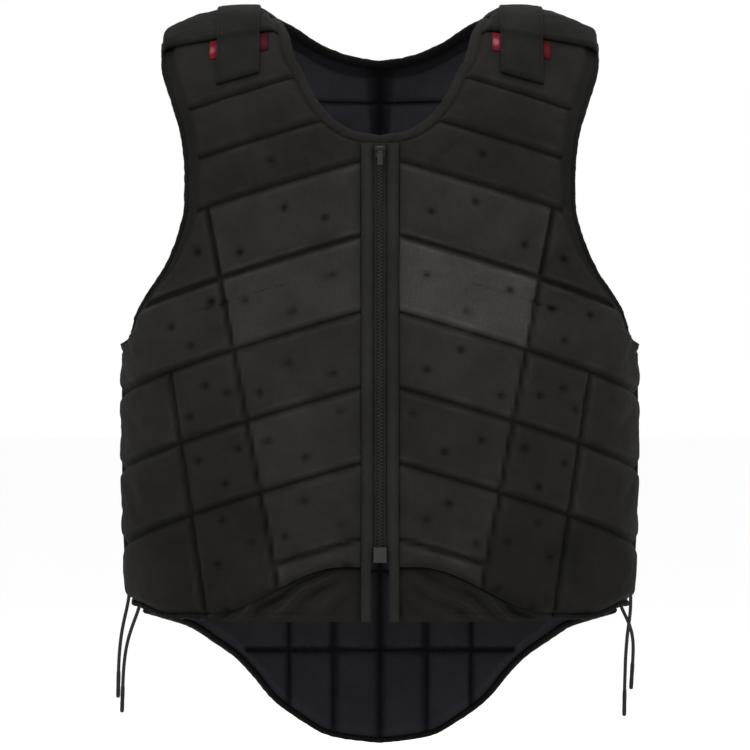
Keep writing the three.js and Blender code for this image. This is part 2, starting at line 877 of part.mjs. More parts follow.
function addBindings() {
  const armholeRun = (ends, grid) => {
    const from = ends.findLastIndex((spot) => spot.level < sideTop - clearance / 2);
    const borders = grid.map((row) => row[row.length - 2]);
    const up = (sideTop - clearance - ends[from].level) / (ends[from + 1].level - ends[from].level);
    const between = (spots) => spotBetween(spots[from], spots[from + 1], Math.max(0, up));
    return [ends, borders].map((spots) => [between(spots), ...spots.slice(from + 1)]);
  };
  const frontRun = armholeRun(frontEnds, rightFront);
  addPair('armhole_binding_front', edgeBead(...frontRun, bindingWidth), 'binding');
  const backRun = armholeRun(backEnds, rightBack);
  addPair('armhole_binding_back', edgeBead(...backRun, bindingWidth), 'binding');

  const foot = frontSpot(clearance, placketTop, -edgeDepth, edgeTaper - padThickness);
  const below = frontSpot(clearance, placketTop - bevelWidth, -edgeDepth, edgeTaper - padThickness);
  const neckRun = [foot, ...frontStarts.slice(neckFoot)];
  const neckInward = [below, ...rightFront.slice(neckFoot).map((row) => row[1])];
  neckInward[1] = frontSpot(placketHalfWidth, placketTop - bevelWidth, -edgeDepth, edgeTaper - padThickness);
  addPair('neck_binding_front', edgeBead(neckRun.reverse(), neckInward.reverse(), neckBindingWidth), 'front');

  const neckBottom = backStarts.findLastIndex((spot) => spot.angle === 0);
  const rising = backStarts.slice(neckBottom).reverse();
  const inward = rightBack.slice(neckBottom).map((row) => row[1]).reverse();
  inward[inward.length - 1] = rightBack[neckBottom - 1][0];
  add('neck_binding_back', doubled(edgeBead(rising, inward, bindingWidth, 'last')), 'binding');
  add('tail_binding', doubled(edgeBead(rightBack[0], rightBack[1], bindingWidth, 'first')), 'binding');

  const corner = rightFront[0].findIndex((spot) => spot.point.x > skirtHalfWidth);
  const cornerRun = [rightFront[0].slice(corner), rightFront[1].slice(corner)];
  addPair('corner_binding', edgeBead(...cornerRun, bindingWidth), 'binding');
}

// The skirt hangs from the panel's lower edge, with a fold at each of that edge's points.
function addSkirts() {
  const corner = rightFront[0].findIndex((spot) => spot.point.x > skirtHalfWidth);
  const seam = rightFront[0].slice(0, corner + 1);
  const columns = seam.flatMap((spot, n) => (n === 0 ? [[0, 0]] : [[n, 0.5], [n, 1]]));
  const along = ([n, share], vector) => {
    if (n === 0) return seam[0][vector].clone();
    return seam[n - 1][vector].clone().lerp(seam[n][vector], share);
  };
  const grid = [0, 0.5, 1].map((up) => columns.map((column, n) => {
    const top = along(column, 'point');
    const x = top.x + (n === 0 ? clearance : 0) - (n === columns.length - 1 ? clearance : 0);
    const hem = frontSpot(x, hemLevel, 0, 0);
    const point = hem.point.clone().lerp(top.clone().setX(x).setZ(top.z - clearance), up);
    const normal = hem.normal.clone().lerp(along(column, 'normal'), up).normalize();
    const depth = -skirtDepth + (n % 2 === 0 ? 1 : -1) * skirtFoldDepth * (1 - up);
    return {
      outer: point.clone().addScaledVector(normal, depth),
      inner: point.clone().addScaledVector(normal, depth - skirtThickness),
    };
  }));
  addPair('front_skirt', gridSolid(grid), 'front');
}

function addZip() {
  const heights = [
    ...evenly(hemLevel, zipBottom - slitLead, 3),
    ...evenly(zipBottom, chestLevel, 6),
    ...evenly(chestLevel + placketBend, placketTop - clearance, 4),
  ];
  const placket = heights.map((height) => {
    const start = height < zipBottom ? slitHalfWidth : zipHalfWidth + clearance;
    const outer = -edgeDepth + placketThickness - placketSink;
    return evenly(start, placketHalfWidth - clearance, 1)
      .map((x) => frontSpot(x, height, outer, outer - placketThickness));
  });
  addPair('zip_placket', gridSolid(placket), 'zip');

  const tapeTop = -edgeDepth + zipThickness / 2;
  const profile = [
    [-zipHalfWidth, 0], [-teethHalfWidth - toothBevel, 0], [-teethHalfWidth, teethHeight],
    [teethHalfWidth, teethHeight], [teethHalfWidth + toothBevel, 0], [zipHalfWidth, 0],
  ];
  const chain = heights.filter((height) => height >= zipBottom).map((height) => profile.map(([x, rise]) => (
    frontSpot(x, height, tapeTop + rise, tapeTop - zipThickness))));
  add('zip_chain', gridSolid(chain), 'zip');

  const box = new THREE.BoxGeometry(zipBoxWidth, zipBoxHeight, zipBoxLength);
  const boxMesh = add('zip_box', box, 'metal');
  const boxMiddle = zipBottom + zipBoxLength / 2 - zipBoxOverhang;
  const seat = frontSpot(0, boxMiddle, tapeTop + teethHeight + zipBoxLift, 0);
  boxMesh.position.copy(seat.outer).addScaledVector(seat.normal, zipBoxHeight / 2);
  boxMesh.rotation.x = Math.asin(seat.normal.z);

  const sliderMiddle = placketTop - sliderTopGap - sliderLength / 2;
  const sliderSeat = frontSpot(0, sliderMiddle, tapeTop + teethHeight + clearance, 0);
  const slider = new THREE.Group();
  slider.position.copy(sliderSeat.outer);
  slider.rotation.x = -Math.asin(sliderSeat.normal.z);
  const pinOut = sliderHeight + clearance + eyeRadius;
  const pinUp = sliderLength / 2 - eyeRadius - earTopGap;
  slider.add(zipSlider(pinOut, pinUp), zipPull(pinOut, pinUp));
  vest.add(slider);
}

function boxAt(width, depth, height, x, y, z) {
  return new THREE.BoxGeometry(width, depth, height).translate(x, y, z);
}

function zipSlider(pinOut, pinUp) {
  const earAt = pullWidth / 2 + clearance + earThickness / 2;
  const body = toSolid(boxAt(sliderWidth, sliderHeight, sliderLength, 0, -sliderHeight / 2, 0));
  const earOut = sliderHeight + earHeight / 2 - earRoot;
  const earReach = earHeight + 2 * earRoot;
  const ear = (x) => toSolid(boxAt(earThickness, earReach, 2 * eyeRadius, x, -earOut, pinUp));
  const pin = new THREE.CylinderGeometry(pinRadius, pinRadius, 2 * earAt, 12)
    .rotateZ(Math.PI / 2).translate(0, -pinOut, pinUp);
  const solid = body.add(ear(earAt)).add(ear(-earAt)).add(toSolid(pin));
  return named('zip_slider', fromSolid(solid), 'metal');
}

function zipPull(pinOut, pinUp) {
  const outline = new THREE.Shape();
  const half = pullThickness / 2;
  const join = Math.asin(half / eyeRadius);
  outline.absarc(0, 0, eyeRadius, -Math.PI / 2 + join, 1.5 * Math.PI - join, false);
  outline.lineTo(-half, -pullLength);
  outline.lineTo(half, -pullLength);
  outline.closePath();
  const hole = new THREE.Path();
  hole.absarc(0, 0, pinRadius + pinClearance, 0, 2 * Math.PI, true);
  outline.holes.push(hole);
  const shape = { depth: pullWidth, bevelEnabled: false, curveSegments: 7 };
  const plate = new THREE.ExtrudeGeometry(outline, shape);
  plate.translate(0, 0, -pullWidth / 2);
  plate.applyMatrix4(new THREE.Matrix4().makeBasis(
    new THREE.Vector3(0, 1, 0), new THREE.Vector3(0, 0, 1), new THREE.Vector3(1, 0, 0)));
  plate.translate(0, -pinOut, pinUp);
  return named('zip_pull', plate, 'metal');
}

// A strip over the shoulder: rows by the length of curve from its top, columns by the way out.
function shoulderSpot(x, arc, lift, thickness) {
  const face = arc > 0 ? -1 : 1;
  const angle = angleAt(x, chestLevel);
  return spotAt(face, angle, topLevel(x) - Math.abs(arc), lift + thickness, lift);
}

function frontArc(x, drop) {
  return levelAt(-drop, x) - topLevel(x);
}

function yokeEdgeDropAt(x) {
  return yokeEdgeDrop + yokeEdgeSlope * (x - neckHalfWidth);
}

function tabDropAt(x) {
  return tabDrop + chevronSlope * (x - tabInner);
}

function addShoulders() {
  const outerEdge = outAt(radians(frontArmhole[0].angle), chestLevel) - yokeInset;
  const yoke = evenly(0, 1, 10).map((share) => evenly(0, 1, 5).map((across) => {
    const arcAt = (x) => mix(frontArc(x, yokeEdgeDropAt(x)), yokeBackReach, share);
    let x = mix(neckHalfWidth, outerEdge, across);
    for (let pass = 0; pass < 3; pass += 1) {
      const height = heightAt(angleAt(x, chestLevel), topLevel(x) - Math.abs(arcAt(x)));
      const neck = arcAt(x) < 0 ? neckOut(frontNeck, frontNeckDrop, height)
        : neckOut(backNeck, backNeckDrop, height);
      x = mix(neck + yokeInset, outerEdge, across);
    }
    return shoulderSpot(x, arcAt(x), yokeLift, yokeThickness);
  }));
  addPair('shoulder_yoke', gridSolid(yoke), 'yoke');

  const overYoke = yokeLift + yokeThickness + tabLift;
  const overMarker = 2 * clearance + markerThickness;
  const across = evenly(tabInner, tabInner + tabWidth, 2);
  const tabRow = (arcAt, lift) => across.map((x) => shoulderSpot(x, arcAt(x), lift, tabThickness));
  const yokeEdge = (x) => frontArc(x, yokeEdgeDropAt(x));
  const beyond = (more) => (x) => frontArc(x, yokeEdgeDropAt(x) + more);
  const tabEnd = (x) => frontArc(x, tabDropAt(x));
  const tab = [
    tabRow(tabEnd, clearance),
    tabRow(beyond(markerWidth + tabFootRun), clearance),
    tabRow(beyond(markerWidth + tabMarkerGap), overMarker),
    tabRow(beyond(tabStepRun), overMarker + tabStepLift),
    tabRow(beyond(tabYokeGap), overYoke),
    ...tabShares.map((share) => tabRow((x) => share * yokeEdge(x), overYoke)),
    tabRow(() => tabBackReach / 2, overYoke),
    tabRow(() => tabBackReach, overYoke),
  ];
  addPair('shoulder_tab', gridSolid(tab), 'yoke');

  const markerAcross = evenly(tabInner - markerOverhang, tabInner + tabWidth + markerOverhang, 4);
  const marker = evenly(markerWidth, markerGap, 2).map((more) => markerAcross.map((x) => (
    shoulderSpot(x, beyond(more)(x), clearance, markerThickness))));
  addPair('shoulder_marker', gridSolid(marker), 'marker');
}

function tube(points, radius, steps, sides) {
  const path = new THREE.CatmullRomCurve3(points, false, 'centripetal');
  const section = new THREE.Shape(evenly(0, 2 * Math.PI, sides).slice(0, -1)
    .map((angle) => new THREE.Vector2(radius * Math.cos(angle), radius * Math.sin(angle))));
  return cornersOnly(new THREE.ExtrudeGeometry(section, { extrudePath: path, steps, bevelEnabled: false }));
}

const frontSide = radians(frontSideAngle);
const backSide = Math.PI - radians(backSideAngle);

function sidePoint(angle, level, offset) {
  return offsetPoint(1, angle, level, offset);
}

function addSides() {
  const gussetTop = sideTop - gussetTopGap;
  const gussetBottom = padEdgeHeight(chestHalfWidth) + gussetBottomGap;
  const gap = angleStep(1, frontSide, gussetTop, 2 * clearance);
  const gusset = evenly(gussetBottom, gussetTop, 6).map((level) => (
    evenly(frontSide + gap, backSide - gap, 2).map((angle) => (
      spotAt(1, angle, level, -gussetDepth, -gussetDepth - gussetThickness)))));
  addPair('side_gusset', gridSolid(gusset), 'binding');

  const laceDepth = borderDepth - clearance - laceRadius;
  const tapeLift = -laceDepth + laceRadius + 1.5 * clearance;
  const tapeRows = evenly(gussetBottom + laceTapeMargin, gussetTop - laceTapeMargin, 8);
  const tape = (edge, toBorder) => tapeRows.map((level) => {
    const reach = angleStep(1, edge, level, laceTapeWidth - laceTapeLip);
    const lip = angleStep(1, edge, level, laceTapeLip);
    const angles = toBorder < 0 ? [edge - reach, edge + lip] : [edge - lip, edge + reach];
    return angles.map((angle) => spotAt(1, angle, level, tapeLift + laceTapeThickness, tapeLift));
  });
  addPair('lace_tape_front', gridSolid(tape(frontSide, -1)), 'binding');
  addPair('lace_tape_back', gridSolid(tape(backSide, 1)), 'binding');

  const inset = angleStep(1, frontSide, gussetTop, laceInset);
  const turns = evenly(gussetTop - laceTopMargin, gussetBottom + laceBottomMargin, laceSpans);
  const pitch = turns[0] - turns[1];
  const lace = turns.flatMap((level, n) => {
    const angle = n % 2 === 0 ? frontSide - inset : backSide + inset;
    return [laceTurnReach, -laceTurnReach]
      .map((share) => sidePoint(angle, level + share * pitch, -laceDepth));
  });
  lace.push(sidePoint(frontSide - inset, tapeRows[0], -laceDepth));
  addPair('side_lace', tube(lace, laceRadius, laceSpans * 5, 6), 'lace');
}

// Routes of the four free lace ends, from where each leaves its tape to its tip.
const laceRoutes = {
  right_front: [
    [216.3, 3.3, -486.2], [216.3, 3.2, -492.3], [216.2, 3.0, -498.4], [215.8, 2.7, -504.5],
    [215.1, 2.4, -510.6], [214.3, 2.1, -516.7], [213.5, 1.8, -522.8], [212.9, 1.5, -528.9],
    [212.4, 1.3, -535.1], [212.0, 1.1, -541.3], [211.7, 0.9, -547.5], [211.5, 0.8, -553.7],
    [211.3, 0.7, -559.9], [211.1, 0.6, -566.1], [211.0, 0.5, -572.0],
  ],
  right_back: [
    [206.4, 45.9, -486.2], [206.9, 45.6, -490.9], [207.8, 45.0, -495.5], [209.2, 44.2, -500.0],
    [211.0, 43.2, -504.3], [213.0, 42.1, -508.4], [214.9, 41.0, -512.6], [216.5, 40.0, -517.0],
    [217.8, 39.2, -521.5], [218.6, 38.5, -526.1], [219.1, 38.0, -530.8], [219.2, 37.6, -535.5],
    [219.1, 37.3, -540.3], [218.9, 37.1, -545.1], [218.6, 37.0, -549.9],
  ],
  left_front: [
    [-216.3, 3.3, -486.2], [-216.8, 3.2, -491.2], [-217.6, 3.0, -496.2], [-218.6, 2.7, -501.1],
    [-219.7, 2.4, -506.0], [-220.8, 2.1, -510.9], [-221.8, 1.8, -515.8], [-222.7, 1.5, -520.8],
    [-223.4, 1.3, -525.8], [-224.0, 1.1, -530.8], [-224.5, 0.9, -535.8], [-224.9, 0.8, -540.9],
    [-225.2, 0.7, -546.0], [-225.4, 0.6, -551.1], [-225.5, 0.5, -556.2],
  ],
  left_back: [
    [-206.4, 45.9, -486.2], [-207.0, 45.7, -492.3], [-208.2, 45.3, -498.3], [-210.0, 44.7, -504.2],
    [-212.1, 44.0, -510.0], [-214.2, 43.2, -515.8], [-216.2, 42.4, -521.6], [-217.9, 41.7, -527.5],
    [-219.3, 41.1, -533.5], [-220.4, 40.6, -539.6], [-221.2, 40.2, -545.7], [-221.8, 39.9, -551.8],
    [-222.2, 39.7, -557.9], [-222.5, 39.6, -564.0], [-222.7, 39.5, -570.1],
  ],
};

function addLaceEnds() {
  const profile = [
    [0, 0], [0.8 * tipRadius, 0], [tipRadius, 0.4 * tipRadius], [tipRadius, tipLength - tipRadius],
    [0.6 * tipRadius, tipLength], [0, tipLength],
  ].map(([out, along]) => new THREE.Vector2(out, along));
  Object.entries(laceRoutes).forEach(([name, route]) => {
    const points = route.map((point) => new THREE.Vector3(...point));
    add(`lace_end_${name}`, tube(points, laceRadius, 10, 6), 'lace');
    const end = points[points.length - 1];
    const along = end.clone().sub(points[points.length - 2]).normalize();
    const tip = add(`lace_tip_${name}`, new THREE.LatheGeometry(profile, 8), 'zip');
    tip.position.copy(end).addScaledVector(along, clearance);
    tip.quaternion.setFromUnitVectors(new THREE.Vector3(0, 1, 0), along);
  });
}

addPanels();
addBindings();
addSkirts();
addZip();
addShoulders();
addSides();
addLaceEnds();

export default vest;
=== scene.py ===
"""Looks of a padded riding vest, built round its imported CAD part.

Lengths are in millimetres, but those of the camera and the lights are in metres.
"""
import math

import bmesh
import bpy
import numpy as np
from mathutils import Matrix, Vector


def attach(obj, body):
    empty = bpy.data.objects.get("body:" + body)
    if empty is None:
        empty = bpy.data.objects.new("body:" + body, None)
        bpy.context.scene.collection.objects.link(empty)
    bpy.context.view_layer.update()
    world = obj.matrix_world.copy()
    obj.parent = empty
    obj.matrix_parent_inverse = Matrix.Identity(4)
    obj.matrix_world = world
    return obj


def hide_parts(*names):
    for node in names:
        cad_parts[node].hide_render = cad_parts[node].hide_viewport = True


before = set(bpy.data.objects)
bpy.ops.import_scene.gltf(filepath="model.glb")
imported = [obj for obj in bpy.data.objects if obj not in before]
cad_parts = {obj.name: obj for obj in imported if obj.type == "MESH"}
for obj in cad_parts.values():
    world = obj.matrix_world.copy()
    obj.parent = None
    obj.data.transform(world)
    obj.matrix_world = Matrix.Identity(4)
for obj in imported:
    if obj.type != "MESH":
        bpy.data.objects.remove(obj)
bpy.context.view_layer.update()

scene = bpy.context.scene
MM = 0.001
VEST = "vest"
SIDES = ((1, "right"), (-1, "left"))
FAR = 99.0  # farther than any channel or edge

# Sizes shared with the part
CHEST_HALF_WIDTH, FRONT_DEPTH, BACK_DEPTH = 221.0, 130.0, 118.0
CHEST, FRONT_DROP, TAIL_DROP = -150.0, 510.0, 104.7
SQUARENESS = 2.4
PAD, SHOULDER_PAD = 20.0, 14.0
SHOULDER_MIDDLE, SHOULDER_SPAN = 115.0, 76.0
OUTER_FALL, INNER_FALL = 24.0, 3.0
CLEAR = 0.3
ARMHOLE_DROP = 288.5
FRONT_SIDE, BACK_SIDE = math.radians(93), math.radians(73)
NECK_HALF, FRONT_NECK_DROP, BACK_NECK_DROP = 95.0, 114.5, 40.0
BACK_NECK_LOW = SHOULDER_PAD - BACK_NECK_DROP
CHEVRON_SLOPE, CHEVRON_SIDE = 0.285, 0.35
CHEVRON_TOP, CHEVRON_PITCH, UPPER_PITCH = 111.0, 64.6, 45.0
INNER_LINE, OUTER_LINE = 150, 203
BACK_PITCH = 41.0
BACK_ROWS = [55.0] + [62 + 67.9 * n for n in range(1, 8)]
PLACKET, ZIP_HALF, ZIP_TOP, ZIP_LENGTH, SLIT = 15.5, 5.6, 103.0, 354.0, 7.8
EDGE_DEPTH, EDGE_TAPER, BORDER, BORDER_DEPTH = 5.0, 6.0, 11.0, 4.0
GROOVE, LINING_GROOVE, TAPE_WIDTH = 5.0, 3.0, 5
SKIRT_HALF, SKIRT_DEPTH = 150.0, 8.0
BOTTOM = -(FRONT_DROP + TAIL_DROP)
HEM = -FRONT_DROP
SIDE_TOP = SHOULDER_PAD - ARMHOLE_DROP
FLOOR = -680

SECTIONS = {
    "width": [(0, 1), (.25, 1.003), (.5, 1.003), (.7, .99), (.85, .975), (1, .965)],
    "front": [(0, 1), (.25, .995), (.5, .985), (.7, .965), (.85, .95), (1, .94)],
    "back": [(0, 1), (.25, .965), (.5, .96), (.7, 1), (.85, 1.045), (1, 1.08)],
}
FRONT_ARMHOLE = [(0, 55), (.14, 55), (.265, 50.5), (.38, 46.4), (.5, 45.2), (.59, 45.4), (.66, 47.3),
                 (.725, 50.5), (.785, 55), (.845, 62.5), (.908, 71.6), (.967, 79), (.99, 84.5), (1, 93)]
BACK_ARMHOLE = [(0, 55), (.14, 55), (.265, 50), (.38, 46), (.5, 44.5), (.59, 45), (.68, 47), (.76, 50.5),
                (.83, 54), (.89, 58), (.94, 62.5), (.98, 68), (1, 73)]
FRONT_NECK = [(0, 1), (.13, .92), (.36, .853), (.445, .79), (.62, .7), (.85, .495), (.975, .237), (1, 0)]
BACK_NECK = [(0, 1), (.22, .83), (.42, .716), (.62, .59), (.83, .39), (.96, .19), (1, 0)]
TAIL_EDGE = [(0, 1), (.19, .945), (.33, .79), (.43, .63), (.5, .45), (.58, .28), (.67, .15), (.76, .03),
             (.85, -.03), (1, -.12)]


# The vest's outer surface, by the angle round it and the level up it
def mix(a, b, t):
    return a + (b - a) * t


def smooth(a, b, v):
    t = np.clip((v - a) / (b - a), 0, 1)
    return t * t * (3 - 2 * t)


def bell(v, width, power=2):
    return np.exp(-(v / width) ** power)


def spow(v, p):
    return np.sign(v) * np.abs(v) ** p


def unit(v):
    return v / np.maximum(np.linalg.norm(v, axis=-1, keepdims=True), 1e-9)


def read(table, at):
    k, v = np.array(table, float).T
    h = np.diff(k)
    s = np.diff(v) / h
    t = np.concatenate([s[:1], np.zeros(len(s) - 1), s[-1:]])
    both = s[:-1] * s[1:]
    total = np.where(both > 0, s[:-1] + s[1:], 1)
    t[1:-1] = np.where(both > 0, 2 * both / total, 0)
    at = np.clip(at, k[0], k[-1])
    i = np.clip(np.searchsorted(k, at, side="right") - 1, 0, len(k) - 2)
    u = (at - k[i]) / h[i]
    return (v[i] * (1 + 2 * u) * (1 - u) ** 2 + v[i + 1] * u * u * (3 - 2 * u)
            + h[i] * (t[i] * u * (1 - u) ** 2 - t[i + 1] * u * u * (1 - u)))


def share_at(column, level):
    return read(SECTIONS[column], np.maximum(0, (CHEST - level) / (CHEST - BOTTOM)))


def rise_at(x):
    out = (np.abs(x) - SHOULDER_MIDDLE) / SHOULDER_SPAN
    fall = np.where(out > 0, OUTER_FALL * np.maximum(out, 0) ** 2.2, INNER_FALL * (2 * out) ** 2)
    return SHOULDER_PAD - fall - CHEST


def top_level(x):
    return CHEST + rise_at(x) * math.pi / 2


def out_at(angle, level):
    return CHEST_HALF_WIDTH * share_at("width", level) * spow(np.sin(angle), 2 / SQUARENESS)


def angle_at(x, level):
    width = CHEST_HALF_WIDTH * share_at("width", level)
    return np.arcsin(np.minimum(1, np.abs(x) / width) ** (SQUARENESS / 2))


def height_at(angle, level):
    rise = rise_at(out_at(angle, level))
    return np.where(level <= CHEST, level, CHEST + rise * np.sin((level - CHEST) / rise))


def level_at(height, x):
    rise = rise_at(x)
    over = np.arcsin(np.clip((height - CHEST) / rise, 0, 1))
    return np.where(height <= CHEST, height, CHEST + rise * over)


def cloth(face, angle, level):
    angle, level = np.broadcast_arrays(np.asarray(angle, float), np.asarray(level, float))
    ahead = np.where(np.cos(angle) > 0, face, -face)
    depth = np.where(ahead > 0, FRONT_DEPTH * share_at("front", level), BACK_DEPTH * share_at("back", level))
    x = out_at(angle, level)
    y = -ahead * depth * np.abs(np.cos(angle)) ** (2 / SQUARENESS)
    rise = rise_at(x)
    turn = np.maximum(0, level - CHEST) / rise
    return np.stack([x, y * np.cos(turn), np.minimum(level, CHEST) + rise * np.sin(turn)], -1)


def cloth_normal(face, angle, level):
    along = cloth(face, angle + .002, level) - cloth(face, angle - .002, level)
    up = cloth(face, angle, level + .2) - cloth(face, angle, level - .2)
    return unit(np.cross(along, up) * face)


def run_at(face, angle, level):
    ends = cloth(face, angle + .01, level) - cloth(face, angle - .01, level)
    return np.linalg.norm(ends, axis=-1) / .02


def thickness_at(level):
    return mix(PAD, SHOULDER_PAD, smooth(CHEST, 0, level))


def armhole_angle(table, height):
    return np.radians(read(table, (SHOULDER_PAD - height) / ARMHOLE_DROP))


def neck_out(table, drop, height):
    down = (SHOULDER_PAD - height) / drop
    return np.where(down >= 1, 0, NECK_HALF * read(table, down))


def pad_edge(x):
    out = np.abs(x) / CHEST_HALF_WIDTH
    return -463 - 40 * smooth(.15, .68, out) + 10 * smooth(.85, 1, out)


def tail_edge(x):
    return HEM - TAIL_DROP * read(TAIL_EDGE, np.abs(x) / CHEST_HALF_WIDTH)


def chevron_fall(angle):
    y = FRONT_DEPTH * spow(np.cos(angle), 2 / SQUARENESS)
    return CHEVRON_SLOPE * (out_at(angle, CHEST) + CHEVRON_SIDE * (FRONT_DEPTH - y))


def chevron(drop, angle):
    return level_at(-drop - chevron_fall(angle), out_at(angle, CHEST))


def between_keys(keys, s):
    keys = np.stack(np.broadcast_arrays(*keys))
    s = np.broadcast_to(s, keys.shape[1:])
    i = np.clip(np.floor(s).astype(int), 0, len(keys) - 2)
    low = np.take_along_axis(keys, i[None], 0)[0]
    high = np.take_along_axis(keys, i[None] + 1, 0)[0]
    return mix(low, high, s - i)


CHEVRON_DROPS = [CHEVRON_TOP + n * (CHEVRON_PITCH if n > 0 else UPPER_PITCH) for n in range(4, -3, -1)]


def front_level(s, angle):
    x = out_at(angle, CHEST)
    rows = [chevron(drop, angle) for drop in CHEVRON_DROPS]
    return between_keys([pad_edge(x)] + rows + [top_level(x) - CLEAR], s)


def back_level(s, angle):
    x = out_at(angle, CHEST)
    rows = [level_at(-drop + 0 * x, x) for drop in BACK_ROWS[6::-1]]
    neck = level_at(BACK_NECK_LOW + 0 * x, x)
    bottom = tail_edge(out_at(angle, HEM))
    return between_keys([bottom] + rows + [neck, top_level(x) - CLEAR], s)


def meet(level, line, limit, s):
    a = np.broadcast_to(np.linspace(0, limit, 181)[:, None], (181, len(s)))
    past = a >= line(height_at(a, level(s[None], a)))
    first = np.where(past.any(0), past.argmax(0), 180)
    each = np.arange(len(s))
    high, low = a[first, each], a[np.maximum(first - 1, 0), each]
    for _ in range(22):
        middle = (low + high) / 2
        over = middle >= line(height_at(middle, level(s, middle)))
        high, low = np.where(over, middle, high), np.where(over, low, middle)
    return high


class Waves:
    """Smooth seeded noise: a sum of plane waves."""

    def __init__(self, seed, size, count=14):
        rng = np.random.default_rng(seed)
        self.k = unit(rng.normal(size=(count, 3))) * rng.uniform(.6, 1.7, (count, 1)) * 2 * math.pi / size
        self.phase = rng.uniform(0, 2 * math.pi, count)

    def __call__(self, p):
        return np.sin(p @ self.k.T + self.phase).sum(-1) / math.sqrt(len(self.phase))


# Meshes
def weld(mesh, distance):
    """Joins the points that meet and turns all faces outwards."""
    bm = bmesh.new()
    bm.from_mesh(mesh)
    bmesh.ops.remove_doubles(bm, verts=bm.verts, dist=distance)
    bmesh.ops.recalc_face_normals(bm, faces=bm.faces)
    bm.to_mesh(mesh)
    bm.free()


def add_mesh(name, verts, faces, materials, face_material=None, tone=None, uv=None):
    mesh = bpy.data.meshes.new(name)
    mesh.from_pydata((np.asarray(verts).reshape(-1, 3) * MM).tolist(), [], [list(f) for f in faces])
    for material in materials:
        mesh.materials.append(material)
    if face_material is not None:
        mesh.polygons.foreach_set("material_index", np.asarray(face_material, np.int32))
    values = np.ones(len(mesh.vertices)) if tone is None else np.asarray(tone).ravel()
    mesh.attributes.new("tone", "FLOAT", "POINT").data.foreach_set("value", values.astype(np.float32))
    if uv is not None:
        corner = np.zeros(len(mesh.loops), np.int32)
        mesh.loops.foreach_get("vertex_index", corner)
        uv = (np.asarray(uv).reshape(-1, 2)[corner] * MM).astype(np.float32)
        mesh.uv_layers.new(name="cloth").data.foreach_set("uv", uv.ravel())
    mesh.polygons.foreach_set("use_smooth", np.ones(len(mesh.polygons), bool))
    mesh.update()
    weld(mesh, 1e-6)
    obj = bpy.data.objects.new(name, mesh)
    scene.collection.objects.link(obj)
    return obj


def grid_faces(rows, columns, start=0, wrap=False):
    r, c = np.meshgrid(np.arange(rows - 1), np.arange(columns if wrap else columns - 1), indexing="ij")
    n = (c + 1) % columns
    at = lambda row, column: (start + row * columns + column).ravel()
    return np.stack([at(r, c), at(r, n), at(r + 1, n), at(r + 1, c)], 1)


def tube_faces(rings, sides, start=0):
    faces = [list(f) for f in grid_faces(rings, sides, start, wrap=True)]
    return faces + [[start + end * sides + n for n in range(sides)] for end in (0, rings - 1)]


def lengths(points):
    """The length along each row of a grid of points."""
    step = np.linalg.norm(np.diff(points, axis=1), axis=2)
    return np.concatenate([np.zeros((len(points), 1)), np.cumsum(step, 1)], 1)


def lengths_up(points):
    return lengths(points.transpose(1, 0, 2)).T


def length_along(line):
    return lengths(line[None])[0]


def edge_distance(points):
    across, up = lengths(points), lengths_up(points)
    return np.minimum(np.minimum(across, across[:, -1:] - across), np.minimum(up, up[-1:] - up))


def shell(name, outer, inner, materials, tone=None, inner_tone=None, open_rows=0, side=1):
    """A closed solid between two grids of points. Its first column is left open in the first rows."""
    outer, inner = mirror(outer, side), mirror(inner, side)
    rows, columns = outer.shape[:2]
    count = rows * columns
    top = grid_faces(rows, columns)
    under = top[:, ::-1] + count
    index = np.arange(count).reshape(rows, columns)
    rim = [index[0], index[-1], index[:, -1], index[open_rows:, 0]]
    walls = np.concatenate([np.stack([e[:-1], e[1:], e[1:] + count, e[:-1] + count], 1)
                            for e in rim if len(e) > 1])
    last = len(materials) - 1
    kinds = np.concatenate([np.zeros(len(top)), np.full(len(under) + len(walls), last)])
    tone = np.ones((rows, columns)) if tone is None else tone
    tones = np.stack([tone, tone if inner_tone is None else inner_tone])
    uv = np.stack([lengths(outer), lengths_up(outer)], -1)
    return add_mesh(name, np.stack([outer, inner]), np.concatenate([top, under, walls]), materials, kinds,
                    tones, np.stack([uv, uv]))


def tube(name, points, radii, materials, sides=12, frames=None, wobble=None, tone=None):
    """A closed tube along points. radii is (across, along the normal) for each point or for all."""
    points = np.asarray(points, float)
    along = unit(np.gradient(points, axis=0))
    if frames is None:
        first = np.cross(along[0], [0, 1, 0] if abs(along[0][1]) < .9 else [1, 0, 0])
        one = [unit(first)]
        for a in along[1:]:
            one.append(unit(one[-1] - a * (one[-1] @ a)))
        one = np.array(one)
        frames = one, np.cross(along, one)
    radii = np.broadcast_to(np.asarray(radii, float), (len(points), 2))
    turn = circle(sides)
    ring = (points[:, None]
            + frames[0][:, None] * (radii[:, :1] * spow(np.cos(turn), .85))[..., None]
            + frames[1][:, None] * (radii[:, 1:] * spow(np.sin(turn), .85))[..., None])
    if wobble is not None:
        ring = points[:, None] + (ring - points[:, None]) * (1 + wobble(ring))[..., None]
    girth = turn * radii.mean()
    uv = np.stack(np.broadcast_arrays(girth[None], length_along(points)[:, None]), -1)
    values = None if tone is None else np.repeat(tone, sides)
    return add_mesh(name, ring, tube_faces(len(points), sides), materials, tone=values, uv=uv)


def resample(points, count=None, pitch=None):
    length = length_along(points)
    count = count or max(2, int(length[-1] / pitch) + 1)
    at = np.linspace(0, length[-1], count)
    return np.stack([np.interp(at, length, column) for column in points.T], 1)


